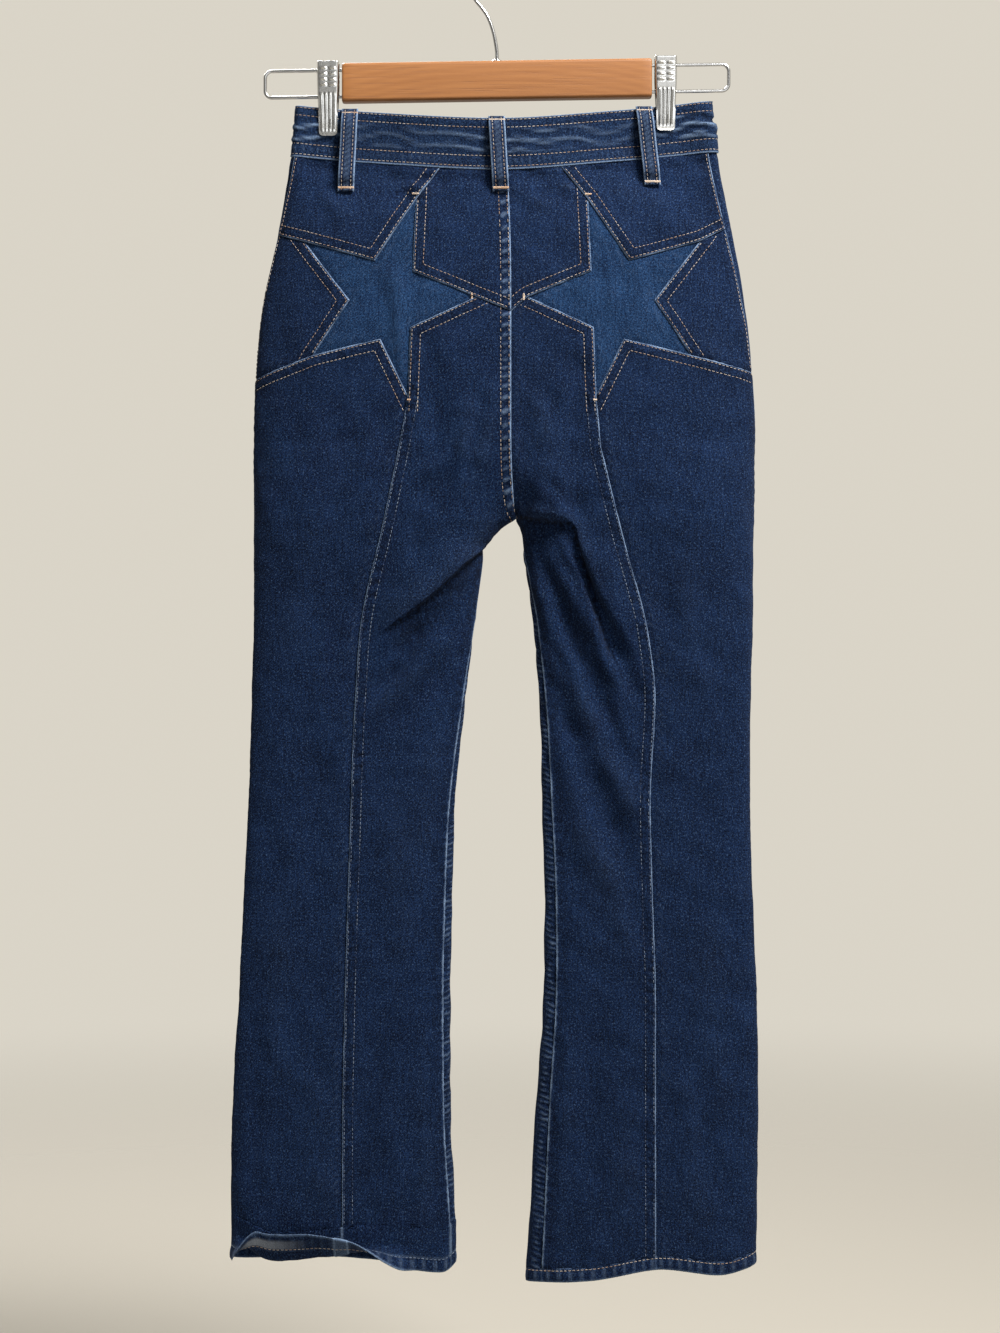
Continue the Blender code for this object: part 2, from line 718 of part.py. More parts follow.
def inside(outline, points):
    """Which points lie inside a closed outline, and how far each is from its edge."""
    start, end = outline, np.roll(outline, -1, axis=0)
    px, py = points[:, None, 0], points[:, None, 1]
    crosses = (start[:, 1] > py) != (end[:, 1] > py)
    run = np.where(end[:, 1] == start[:, 1], 1e-9, end[:, 1] - start[:, 1])
    reach = start[:, 0] + (py - start[:, 1]) / run * (end[:, 0] - start[:, 0])
    within = np.sum(crosses & (px < reach), axis=1) % 2 == 1
    edge = end - start
    size = np.maximum(np.sum(edge * edge, axis=1), 1e-12)
    share = np.clip(((px - start[:, 0]) * edge[:, 0] + (py - start[:, 1]) * edge[:, 1]) / size, 0, 1)
    away = np.hypot(px - start[:, 0] - share * edge[:, 0], py - start[:, 1] - share * edge[:, 1])
    return within, away.min(axis=1)


def panel_mesh(outline):
    """Triangles that fill a panel's outline, with the lattice's own points inside it."""
    columns, rows = lattice_columns(), lattice_rows()
    to_column = np.interp(outline[:, 0], columns, np.arange(len(columns)))
    to_row = np.interp(outline[:, 1], rows, np.arange(len(rows)))
    edge = np.stack([to_column, to_row], axis=-1)
    grid = np.stack(np.meshgrid(np.arange(len(columns)), np.arange(len(rows))), axis=-1).reshape(-1, 2)
    within, away = inside(edge, grid.astype(float))
    points = np.concatenate([edge, grid[within & (away > 0.42)]])
    loop = [list(range(len(edge)))]
    vectors = [Vector((float(x), float(y))) for x, y in points]
    vertices, _, faces, _, _, _ = delaunay_2d_cdt(vectors, [], loop, 1, 1e-6)
    chart = np.array([(v.x, v.y) for v in vertices])
    shares = np.interp(chart[:, 0], np.arange(len(columns)), columns)
    heights = np.interp(chart[:, 1], np.arange(len(rows)), rows)
    return shares, heights, faces


def material(name, colour, roughness, metallic=0.0):
    """A Principled material with one colour."""
    made = bpy.data.materials.new(name)
    made.use_nodes = True
    shader = made.node_tree.nodes["Principled BSDF"]
    shader.inputs["Base Color"].default_value = (*colour, 1.0)
    shader.inputs["Roughness"].default_value = roughness
    shader.inputs["Metallic"].default_value = metallic
    made.diffuse_color = (*colour, 1.0)
    return made


FINISHES = {
    "panel": ((0.014, 0.029, 0.072), 0.85, 0.0),
    "star": ((0.022, 0.058, 0.120), 0.85, 0.0),
    "band": ((0.020, 0.040, 0.085), 0.85, 0.0),
    "loop": ((0.040, 0.062, 0.120), 0.85, 0.0),
    "wood": ((0.540, 0.260, 0.110), 0.45, 0.0),
    "steel": ((0.620, 0.620, 0.610), 0.25, 1.0),
    "button": ((0.450, 0.330, 0.200), 0.35, 1.0),
}


def add_object(name, mesh, finish):
    """A named object in the jeans' own collection, with its own material."""
    made = bpy.data.objects.new(name, mesh)
    mesh.materials.clear()
    mesh.materials.append(material(f"{name}_{finish}", *FINISHES[finish]))
    collection.objects.link(made)
    return made


def mesh_from(bm, name):
    """A mesh with its faces turned outwards."""
    bmesh.ops.recalc_face_normals(bm, faces=bm.faces[:])
    mesh = bpy.data.meshes.new(name)
    bm.to_mesh(mesh)
    bm.free()
    return mesh


def cloth_panel(name, leg, outline, finish, lift=0.0):
    """A panel cut to an outline, laid on the leg's surface and given its wall inwards."""
    shares, heights, faces = panel_mesh(inset(outline, SEAM_GAP / 2))
    outer = leg.point(shares, heights, np.full_like(shares, lift)) * MM
    inner = leg.point(shares, heights, np.full_like(shares, lift - DENIM)) * MM
    bm = bmesh.new()
    vertices = [bm.verts.new(place) for place in outer]
    for face in faces:
        bm.faces.new([vertices[corner] for corner in face])
    bmesh.ops.recalc_face_normals(bm, faces=bm.faces[:])
    bm.verts.index_update()
    grown = bmesh.ops.extrude_face_region(bm, geom=bm.faces[:])
    raised = [item for item in grown["geom"] if isinstance(item, bmesh.types.BMVert)]
    for vertex in raised:
        nearest = np.argmin(np.sum((outer - np.array(vertex.co)) ** 2, axis=1))
        vertex.co = inner[nearest]
    return add_object(name, mesh_from(bm, name), finish)


def ring_solid(name, rings, closed, finish):
    """A solid through a row of rings, closed on itself or with a cap at each end."""
    bm = bmesh.new()
    loops = [[bm.verts.new(place) for place in ring] for ring in np.asarray(rings) * MM]
    pairs = list(zip(loops, loops[1:] + loops[:1])) if closed else list(zip(loops[:-1], loops[1:]))
    for first, second in pairs:
        for corner in range(len(first)):
            after = (corner + 1) % len(first)
            bm.faces.new((first[corner], first[after], second[after], second[corner]))
    if not closed:
        bm.faces.new(loops[0])
        bm.faces.new(loops[-1][::-1])
    return add_object(name, mesh_from(bm, name), finish)


def band_rings(leg, shares, sheet):
    """Sections of the waistband at each share, from its foot to its top, outside and then inside."""
    tops = waist_at(leg, shares, sheet)
    feet = waist_at(leg, shares, sheet, BAND_HEIGHT) + SEAM_GAP / 2
    rings = []
    for share, top, foot in zip(shares, tops, feet):
        levels = np.linspace(foot, top, 4)
        across = np.full(4, share)
        outer = leg.point(across, levels, np.full(4, BAND_LIFT))
        inner = leg.point(across, levels, np.full(4, BAND_LIFT - BAND_DENIM))
        rings.append(np.concatenate([outer, inner[::-1]]))
    return rings


def waistband(legs, patterns):
    """The back waistband from side seam to side seam, and the two fronts that meet at the button."""
    gap = 0.5 * SEAM_GAP / PATTERN_SPAN
    rings = []
    for side in (LEFT, RIGHT):
        pattern = patterns[side]
        shares = pattern.waist_shares(0.0, pattern.side_waist[0])
        shares[-1] -= gap
        shares = shares[:0:-1] if side == LEFT else shares
        rings += band_rings(legs[side], shares, "back")
    ring_solid("waistband_back", rings, False, "band")
    for side in (LEFT, RIGHT):
        shares = patterns[side].waist_shares(patterns[side].side_waist[0], 2.0)
        shares[0] += gap
        shares[-1] -= gap
        ring_solid(f"waistband_front_{SIDE_NAMES[side]}", band_rings(legs[side], shares, "front"), False, "band")


def belt_loop(legs, loop):
    """A strip that stands off the waistband between its two sewn ends."""
    sheet = loop["sheet"]
    top = float(waist_height(loop["x_top"], sheet)) + LOOP_RISE
    bottom = float(waist_height(loop["x_bottom"], sheet)) - BAND_HEIGHT - loop["drop"]
    heights = top + (bottom - top) * np.array(LOOP_LEVELS)
    seat = BAND_LIFT + LOOP_SEAT
    stands = seat + (loop["stand"] - SEAM_GAP) * np.array(LOOP_ARCH)
    stands[-2:] -= BAND_LIFT
    rings = []
    for z, stand in zip(heights, stands):
        middle = np.interp(z, (bottom, top), (loop["x_bottom"], loop["x_top"]))
        ring = []
        for x, out in ((-0.5, stand), (0.5, stand), (0.5, stand + LOOP_DENIM), (-0.5, stand + LOOP_DENIM)):
            across = middle + x * LOOP_WIDTH
            leg, share = leg_share(legs, across, z, sheet)
            place = leg.point(share, z, out)
            ring.append((across, place[1], place[2]))
        rings.append(ring)
    ring_solid(loop["name"], rings, False, "loop")


def leg_share(legs, x, z, sheet):
    """The half of the jeans that holds a place across, and its share there."""
    centre = float(read_table(CENTRE_SEAM, CENTRE_COLUMNS, "across", z))
    leg = legs[LEFT if x < centre else RIGHT]
    return leg, leg.share_at(x, z, sheet)[0]


def hem(leg, pattern):
    """The turned hem all round a leg; the left one curls outwards behind."""
    curls = leg.side == LEFT
    depth = CURL_DEPTH if curls else HEM_DEPTH
    levels = CURL_LEVELS if curls else (0.0, 0.5, 1.0)
    shares = pattern.hem_shares()
    rings = []
    for share, top in zip(shares, pattern.hem_height_at(shares, depth)):
        turn = float(read_table(CURL, CURL_COLUMNS, "turn", share)) if curls and share < 1 else 0.0
        outward = leg.normal(np.array(share), np.array(top))
        place = leg.point(share, top)
        outer, inner = [], []
        before = 0.0
        for level in levels:
            middle = (level + before) / 2
            bend = math.radians(turn) * float(ease((middle - CURL_BEND[0]) / (CURL_BEND[1] - CURL_BEND[0])))
            along = outward * math.sin(bend) - np.array((0, 0, math.cos(bend)))
            place = place + along * depth * (level - before)
            bend = math.radians(turn) * float(ease((level - CURL_BEND[0]) / (CURL_BEND[1] - CURL_BEND[0])))
            out_of_face = outward * math.cos(bend) + np.array((0, 0, math.sin(bend)))
            outer.append(place + out_of_face * BAND_LIFT)
            inner.append(place + out_of_face * (BAND_LIFT - BAND_DENIM))
            before = level
        rings.append(np.concatenate([outer, inner[::-1]]))
    ring_solid(f"hem_{SIDE_NAMES[leg.side]}", rings, True, "panel")


def body_panels(leg, pattern):
    """The star and the panels around it, the two back leg panels and the front leg panel."""
    name = SIDE_NAMES[leg.side]
    side_foot, hem_side = pattern.foot_at_hem(leg.side_share)
    inseam_foot, hem_inseam = pattern.foot_at_hem(leg.inseam_share)
    seam_foot, hem_seam = pattern.foot_at_hem(pattern.leg_seam_share)
    side_upper = pattern.side_seam(pattern.side_waist[1], pattern.side_top[1])
    side_gore = pattern.side_seam(pattern.side_top[1], pattern.side_low[1])
    side_leg = pattern.side_seam(pattern.side_low[1], hem_side)
    leg_seam = pattern.leg_seam(hem_seam)
    inseam = pattern.inseam(hem_inseam)
    waist_outer = pattern.waist_line(pattern.side_waist[0], pattern.waist_join[0], "back")
    waist_inner = pattern.waist_line(pattern.waist_join[0], 0.0, "back")
    panels = {
        "back_upper_side": join_lines(
            waist_outer, pattern.waist_ray, pattern.star_run("tip_side_top", "tip_top")[::-1],
            pattern.top_ray, side_upper[::-1]),
        "back_upper_centre": join_lines(
            waist_inner, pattern.centre_seam(pattern.centre_waist[1], CENTRE_JOIN), pattern.centre_ray[::-1],
            pattern.star_run("tip_top", "tip_centre")[::-1], pattern.waist_ray[::-1]),
        "back_side_gore": join_lines(
            pattern.star_run("tip_side_low", "tip_side_top")[::-1], pattern.low_ray, side_gore[::-1],
            pattern.top_ray[::-1]),
        "star": join_lines(pattern.star_run("tip_top", "tip_top")),
        "back_leg_outer": join_lines(
            pattern.star_run("tip_low", "tip_side_low"), pattern.low_ray, side_leg,
            pattern.hem_line(side_foot, seam_foot), leg_seam[::-1]),
        "back_leg_inner": join_lines(
            pattern.star_run("tip_centre", "tip_low"), leg_seam,
            pattern.hem_line(seam_foot, inseam_foot), inseam[::-1],
            pattern.centre_seam(CENTRE_JOIN, CROTCH)[::-1], pattern.centre_ray[::-1]),
    }
    for panel, outline in panels.items():
        cloth_panel(f"{panel}_{name}", leg, outline, "star" if panel == "star" else "panel")
    front_inseam = pattern.inseam(hem_inseam, front=True)
    front = join_lines(
        side_upper, side_gore, side_leg, pattern.hem_line(side_foot, 2 + inseam_foot),
        front_inseam[::-1], pattern.centre_seam(pattern.centre_waist_front[1], CROTCH, 2.0)[::-1],
        pattern.waist_line(2.0, pattern.side_waist[0], "front"))
    cloth_panel(f"front_leg_{name}", leg, front, "panel")


def fly(leg, pattern):
    """The fly, a strip with a rounded foot that lies on the left front beside the centre seam."""
    top = pattern.centre_waist_front[1]
    width = FLY_WIDTH / PATTERN_SPAN
    edge = 2.0 - FLY_INSET / PATTERN_SPAN
    turn = np.linspace(0, math.pi / 2, 6)
    foot = np.stack([edge - width + width * (1 - np.cos(turn)), FLY_END + FLY_WIDTH * (1 - np.sin(turn))], axis=-1)
    outer = pattern.line([np.array((edge - width, top)), foot[0]], FLY_STEP)
    inner = pattern.line([foot[-1], np.array((edge, top))], FLY_STEP)
    head = pattern.waist_line(edge, edge - width, "front")
    cloth_panel("fly", leg, join_lines(outer, foot, inner, head), "panel", lift=SEAM_GAP + DENIM)


def round_solid(name, radius, depth, finish, place, turn=(0.0, 0.0, 0.0), bevel=0.0):
    """A cylinder with rounded rims."""
    bm = bmesh.new()
    bmesh.ops.create_cone(bm, cap_ends=True, segments=24, radius1=radius * MM, radius2=radius * MM,
                          depth=depth * MM)
    made = add_object(name, mesh_from(bm, name), finish)
    made.location = Vector(place) * MM
    made.rotation_euler = turn
    if bevel:
        edge = made.modifiers.new("rim", "BEVEL")
        edge.width = bevel * MM
        edge.segments = 2
    return made


def wire(name, points, diameter):
    """A round wire along a row of points."""
    curve = bpy.data.curves.new(name, "CURVE")
    curve.dimensions = "3D"
    curve.bevel_depth = diameter / 2 * MM
    curve.bevel_resolution = WIRE_SIDES
    curve.use_fill_caps = True
    spline = curve.splines.new("POLY")
    spline.points.add(len(points) - 1)
    for target, place in zip(spline.points, points):
        target.co = (*(Vector(place) * MM), 1.0)
    curve.materials.append(material(f"{name}_steel", *FINISHES["steel"]))
    made = bpy.data.objects.new(name, curve)
    collection.objects.link(made)
    return made


def tilted(x, y, z):
    """A place on the level hanger, raised or lowered by the hanger's tilt."""
    return (x, y, z + x * math.tan(TILT))


def hook():
    """The hook: an open crook whose inner crest is the origin, and a neck down into the bar."""
    middle = -(HOOK_RADIUS - HOOK_WIRE / 2)
    angles = np.radians(np.linspace(*HOOK_TURN, 27))
    crook = [(HOOK_RADIUS * math.cos(angle), 0.0, middle + HOOK_RADIUS * math.sin(angle)) for angle in angles]
    knots_z = column(HOOK_NECK, ("x", "z"), "z")
    knots_x = column(HOOK_NECK, ("x", "z"), "x")
    heights = np.linspace(knots_z[0] - 3.5, knots_z[-1], 14)
    neck = [(float(smooth_curve(knots_z, knots_x, np.array(z))), 0.0, z) for z in heights]
    return wire("hanger_hook", crook + neck, HOOK_WIRE)


def rod(side):
    """One of the two wire loops that carry the clips, with both ends in the bar."""
    start = BAR_LENGTH / 2 - SOCKET_DEPTH + 1.0
    end = ROD_REACH - WIRE / 2
    half = WIRE_SPACING / 2
    points = [(start, half), (BAR_LENGTH / 2 + ROD_BEND, half)]
    for middle, first in ((half - ROD_ROUND, 90), (-half + ROD_ROUND, 0)):
        for angle in np.radians(np.linspace(first, first - 90, 5)):
            points.append((end - ROD_ROUND + ROD_ROUND * math.cos(angle), middle + ROD_ROUND * math.sin(angle)))
    points += [(BAR_LENGTH / 2 + ROD_BEND, -half), (start, -half)]
    placed = [tilted(side * x, 0.0, BAR_CENTRE + z) for x, z in points]
    return wire(f"rod_{SIDE_NAMES[side]}", placed, WIRE)


def cutter(name, radius, depth, place, turn):
    """A round cutter for a socket."""
    made = round_solid(name, radius, depth, "steel", place, turn)
    collection.objects.unlink(made)
    cutters.objects.link(made)
    made.hide_render = True
    made.display_type = "WIRE"
    return made


def cut(target, tool):
    """Take a cutter away from a solid."""
    modifier = target.modifiers.new(tool.name, "BOOLEAN")
    modifier.operation = "DIFFERENCE"
    modifier.object = tool


def bar():
    """The wooden bar, with rounded edges and sockets for the rods and the hook."""
    bm = bmesh.new()
    bmesh.ops.create_cube(bm, size=1.0)
    bmesh.ops.scale(bm, vec=(BAR_LENGTH * MM, BAR_THICKNESS * MM, BAR_HEIGHT * MM), verts=bm.verts[:])
    long_edges = [e for e in bm.edges if abs(e.verts[0].co.x - e.verts[1].co.x) > 0.1]
    bmesh.ops.bevel(bm, geom=long_edges, offset=BAR_ROUND * MM, segments=3, profile=0.5, affect="EDGES")
    made = add_object("hanger_bar", mesh_from(bm, "hanger_bar"), "wood")
    made.location = (0.0, 0.0, BAR_CENTRE * MM)
    made.rotation_euler = (0.0, -TILT, 0.0)
    quarter = math.pi / 2
    for side in (LEFT, RIGHT):
        for level in (WIRE_SPACING / 2, -WIRE_SPACING / 2):
            place = tilted(side * BAR_LENGTH / 2, 0.0, BAR_CENTRE + level)
            tool = cutter(f"socket_{SIDE_NAMES[side]}_{'top' if level > 0 else 'low'}",
                          WIRE / 2 + SEAM_GAP, 2 * SOCKET_DEPTH, place, (0.0, quarter - TILT, 0.0))
            cut(made, tool)
    tool = cutter("socket_hook", HOOK_WIRE / 2 + SEAM_GAP, HOOK_SOCKET,
                  (0.0, 0.0, HOOK_SOCKET_MIDDLE), (0.0, 0.0, 0.0))
    cut(made, tool)
    return made


def clip_plate(side, face):
    """One pressed plate of a clip: ribbed at its head, leaning in to its foot on the waistband."""
    name = f"clip_{SIDE_NAMES[side]}_{'back' if face < 0 else 'front'}"
    foot = PINCH["flat_depth"] + BAND_LIFT + SEAM_GAP
    x = side * CLIP_PLACE
    head_z = tilted(x, 0, BAR_CENTRE)[2] + CLIP_TOP
    crest = CLIP_HEAD + CLIP_RIB
    profile = [(0.0, CLIP_HEAD - CLIP_LIP), (0.04, CLIP_HEAD)]
    for rib in range(CLIP_RIBS):
        level = 0.08 + rib * 0.07
        profile += [(level, CLIP_HEAD), (level + 0.02, crest), (level + 0.045, crest), (level + 0.06, CLIP_HEAD)]
    profile += [(0.42, CLIP_HEAD), (0.62, foot + 2.2), (0.80, foot), (0.97, foot), (1.0, foot + CLIP_LIP)]
    outline_in = [(face * y, head_z - share * CLIP_LENGTH) for share, y in profile]
    outline_out = [(face * (y + CLIP_STEEL), head_z - share * CLIP_LENGTH) for share, y in profile]
    rings = []
    for share in (-0.5, 0.5):
        widths = [CLIP_WIDTH - CLIP_TAPER * float(ease((level - 0.2) / 0.8)) for level, _ in profile]
        inner = [(x + share * width, y, z) for width, (y, z) in zip(widths, outline_in)]
        outer = [(x + share * width, y, z) for width, (y, z) in zip(widths, outline_out)]
        rings.append(inner + outer[::-1])
    return ring_solid(name, rings, False, "steel")


def clip_saddle(side):
    """The sprung saddle between a clip's plates, with the two rods through it."""
    name = f"clip_{SIDE_NAMES[side]}_saddle"
    x = side * CLIP_PLACE
    centre = tilted(x, 0, BAR_CENTRE)[2]
    bm = bmesh.new()
    bmesh.ops.create_cube(bm, size=1.0)
    bmesh.ops.scale(bm, vec=Vector(SADDLE) * MM, verts=bm.verts[:])
    made = add_object(name, mesh_from(bm, name), "steel")
    made.location = Vector((x, 0.0, centre)) * MM
    for level in (WIRE_SPACING / 2, -WIRE_SPACING / 2):
        place = tilted(x, 0.0, BAR_CENTRE + level)
        tool = cutter(f"{name}_bore_{'top' if level > 0 else 'low'}", WIRE / 2 + SEAM_GAP, 2 * SADDLE[0], place,
                      (0.0, math.pi / 2 - TILT, 0.0))
        cut(made, tool)
    return made


def button(leg):
    """The waist button on the front waistband."""
    z = float(waist_height(0.0, "front")) - BAND_HEIGHT / 2
    share = 2.0 - BUTTON_INSET / PATTERN_SPAN
    seat = leg.point(share, z, BAND_LIFT + BUTTON_SHANK)
    outward = leg.normal(np.array(share), np.array(z))
    turn = Vector((0, 0, 1)).rotation_difference(Vector(outward)).to_euler()
    middle = seat + outward * BUTTON_THICK / 2
    return round_solid("waist_button", BUTTON_RADIUS, BUTTON_THICK, "button", middle, turn, BUTTON_RIM)


def build():
    """Every piece of the jeans and its hanger."""
    legs = {side: Leg(side) for side in (LEFT, RIGHT)}
    patterns = {side: Pattern(legs[side]) for side in (LEFT, RIGHT)}
    for side in (LEFT, RIGHT):
        body_panels(legs[side], patterns[side])
        hem(legs[side], patterns[side])
    waistband(legs, patterns)
    for row in LOOPS:
        belt_loop(legs, dict(zip(LOOP_COLUMNS, row)))
    fly(legs[LEFT], patterns[LEFT])
    button(legs[LEFT])
    hook()
    bar()
    for side in (LEFT, RIGHT):
        rod(side)
        for face in (-1, 1):
            clip_plate(side, face)
        clip_saddle(side)


for old in list(bpy.data.objects):
    bpy.data.objects.remove(old, do_unlink=True)
collection = bpy.data.collections.new("flared_jeans")
bpy.context.scene.collection.children.link(collection)
cutters = bpy.data.collections.new("cutters")
bpy.context.scene.collection.children.link(cutters)
build()
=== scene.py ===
# Flared denim jeans with star insets, hung by the waistband from a wooden bar hanger.
# Shapes are worked out in millimetres and put into the meshes in metres. The back of the jeans faces -Y.
import math

import bpy
import numpy as np
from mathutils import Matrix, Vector
from mathutils.geometry import delaunay_2d_cdt


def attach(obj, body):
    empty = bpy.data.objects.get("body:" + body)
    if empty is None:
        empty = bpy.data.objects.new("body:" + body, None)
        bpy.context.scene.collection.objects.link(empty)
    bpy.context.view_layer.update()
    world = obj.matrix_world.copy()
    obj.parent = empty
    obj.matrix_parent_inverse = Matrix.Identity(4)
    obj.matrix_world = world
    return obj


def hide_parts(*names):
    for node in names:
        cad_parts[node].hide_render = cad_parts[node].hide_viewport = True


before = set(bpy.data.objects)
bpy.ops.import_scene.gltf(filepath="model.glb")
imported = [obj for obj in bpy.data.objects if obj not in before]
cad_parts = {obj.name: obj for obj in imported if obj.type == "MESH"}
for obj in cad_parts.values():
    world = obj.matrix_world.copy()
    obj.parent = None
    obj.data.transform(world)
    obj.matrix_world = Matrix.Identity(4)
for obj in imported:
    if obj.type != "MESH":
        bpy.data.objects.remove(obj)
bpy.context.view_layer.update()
print("frame:", len(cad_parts), "solids")

mm = 0.001
left, right = -1, 1
sideNames = {left: "left", right: "right"}
rng = np.random.default_rng(11)


def ease(value):  # a smooth step: three squares less two cubes, held at 0 and 1
    value = np.clip(value, 0.0, 1.0)
    return value * value * (3 - 2 * value)


def bell(away, width, power=2):
    return np.exp(-((away / width) ** power))


def stacked(*parts):  # arrays side by side as the last axis
    return np.stack(np.broadcast_arrays(*parts), axis=-1)


def distances(line):  # how far along a line each of its points lies
    return np.append(0, np.cumsum(np.linalg.norm(np.diff(line, axis=0), axis=1)))


def signedArea(outline):
    x, y = outline.T
    return float(np.sum(x * np.roll(y, -1) - y * np.roll(x, -1)) / 2)


def circleTurns(count):
    return np.linspace(0, 2 * math.pi, count, endpoint=False)


def curveThrough(table, at, place=1):
    # cubic pieces through a table's rows; a slope is the mean of its neighbours', and flat where the curve turns
    rows = np.array(sorted((row[0], row[place]) for row in table), dtype=float)
    knots, values = rows.T
    at = np.clip(np.asarray(at, dtype=float), knots[0], knots[-1])
    steps = np.diff(values) / np.diff(knots)
    turns = np.append(steps[:1], steps) * np.append(steps, steps[-1:])
    slopes = np.where(turns <= 0, 0.0, np.gradient(values, knots))
    cell = np.clip(np.searchsorted(knots, at, side="right") - 1, 0, len(knots) - 2)
    width = knots[cell + 1] - knots[cell]
    u = (at - knots[cell]) / width
    start = (1 + 2 * u) * (1 - u) ** 2 * values[cell] + u * (1 - u) ** 2 * width * slopes[cell]
    return start + u * u * (3 - 2 * u) * values[cell + 1] + u * u * (u - 1) * width * slopes[cell + 1]


# the form that the cloth hangs in, the same as the solids'
form = {
    "step": 2.0, "samples": 141, "lowest": -1130.0, "highest": -105.0,
    "crotch": -472.5, "crotchRise": 62.0, "foldFade": 22.0,
    "centreSeam": (  # height, across
        (-105, 3.0), (-180, 9.0), (-240, 11.5), (-300, 12.0), (-400, 12.0), (-440, 13.0), (-472.5, 15.5)),
    "edges": {  # height, inner fold, outer fold
        left: (
            (-105, 15.2, -169.5), (-172, 15.2, -176.0), (-236, 15.2, -187.0), (-287, 15.2, -197.5),
            (-360, 15.2, -205.0), (-472.5, 15.2, -206.5), (-480, 4.0, -206.5), (-491, -7.2, -206.5),
            (-498, -12.4, -206.5), (-504, -12.0, -206.5),
            (-542, -16.0, -206.5), (-627, -26.5, -208.5), (-712, -35.0, -211.0), (-797, -37.5, -215.5),
            (-882, -39.0, -219.5), (-967, -39.0, -224.5), (-1052, -35.5, -226.0), (-1120, -31.5, -225.0)),
        right: (
            (-105, 15.8, 183.5), (-168, 15.8, 188.0), (-202, 15.8, 194.0), (-245, 15.8, 202.5),
            (-287, 15.8, 210.0), (-360, 15.8, 217.5), (-472.5, 15.8, 218.5), (-482, 20.0, 218.0),
            (-508, 23.0, 217.5), (-542, 28.0, 217.5), (-627, 35.5, 215.5), (-712, 38.0, 215.0),
            (-797, 40.0, 217.5), (-882, 39.0, 221.0), (-967, 33.0, 222.0), (-1052, 28.0, 221.0),
            (-1120, 24.0, 220.0)),
    },
    "depths": (  # height, half depth of the back and of the front, squareness
        (-105, 18, 17, 3.0), (-180, 21, 19, 2.6), (-250, 28, 23, 2.4), (-330, 33, 26, 2.4), (-420, 31, 24, 2.6),
        (-472, 27, 21, 3.0), (-520, 21, 17, 3.4), (-600, 15, 13, 4.0), (-720, 12, 11, 4.5), (-880, 11, 10, 4.5),
        (-1000, 12, 11, 4.5), (-1120, 14, 13, 4.0)),
    "pinch": {"top": -150, "bottom": -232, "flatFrom": 120.0, "flatTo": 155.0, "opening": 20.0,
              "flatDepth": 2.25, "middleDepth": 17.0, "endDepth": 5.5, "endSquare": 40},
    "mainFolds": (  # sheet, start, end, ridge height, width above and below
        ("back", 14, -466, -104, -574, 6.0, 42, 9),
        ("back", 18, -468, 68, -473, 8.0, 34, 5.5),
        ("back", 69, -472, 125, -603, 7.0, 18, 9),
        ("back", 44, -496, 118, -640, 3.0, 9, 10),
        ("front", 30, -462, 120, -520, 6.0, 30, 16),
        ("front", 0, -464, -95, -528, 6.0, 30, 16)),
    "waistTop": (  # across, top edge behind and in front
        (-190, -121.0, -121.0), (-171, -122.5, -122.5), (-117, -127.5, -132.0), (0, -136.0, -158.0),
        (117, -125.5, -131.0), (184, -119.0, -119.0), (200, -118.0, -118.0)),
    "hemLines": {  # across, lowest edge behind and in front
        left: (
            (-230, -1098.0, -1101.0), (-212, -1105.0, -1103.0), (-188, -1114.0, -1103.0), (-140, -1111.0, -1103.0),
            (-108, -1108.0, -1105.0), (-75, -1109.0, -1108.0), (-45, -1112.0, -1108.0), (-28, -1101.0, -1100.0)),
        right: (
            (20, -1121.0, -1117.0), (84, -1118.0, -1116.0), (140, -1109.0, -1110.0), (190, -1114.0, -1110.0),
            (224, -1105.0, -1104.0)),
    },
}

# where the seams run
seams = {
    "bandHeight": 44.0, "hemDepth": 11.0, "curlDepth": 36.0,
    "star": (  # corner, direction and reach from the middle, 0 degrees being towards the centre seam
        ("tipTop", 72, 88), ("notchCentreTop", 42, 33), ("tipCentre", 0, 78), ("notchCentreLow", -48, 34),
        ("tipLow", -76, 85), ("notchSideLow", -94, 35), ("tipSideLow", -141, 76), ("notchSide", 184, 28.5),
        ("tipSideTop", 144, 83), ("notchSideTop", 103, 32)),
    "starMiddle": {left: (-95.5, -289.0), right: (104.0, -289.0)},
    "waistEnd": {left: -48.0, right: 54.0},
    "sideTop": {left: -233.0, right: -228.0},
    "sideLow": {left: -358.0, right: -350.0},
    "centreJoin": -301.0,
    "legSeams": {  # height, across
        left: ((-415, -82.5), (-483, -97.0), (-559, -114.5), (-627, -120.0), (-755, -125.0), (-882, -129.0),
               (-1010, -131.0), (-1120, -131.0)),
        right: ((-415, 87.5), (-483, 104.5), (-576, 128.5), (-627, 134.0), (-712, 130.0), (-797, 132.0),
                (-882, 134.5), (-1120, 134.5)),
    },
    "offsets": {  # height, side seam in from the outer fold, inseam in from the inner fold
        left: ((-105, 7, 0), (-236, 3, 0), (-360, -3, 0), (-472.5, -7, 0), (-504, -7, 1), (-627, -7, 5),
               (-712, -7, 7.5), (-1120, -7, 8)),
        right: ((-105, 11, 0), (-236, 9, 0), (-360, 2, 0), (-472.5, -6, 0), (-504, -7, 4), (-627, -7, 9),
                (-755, -7, 12), (-930, -7, 14), (-1120, -7, 17)),
    },
}

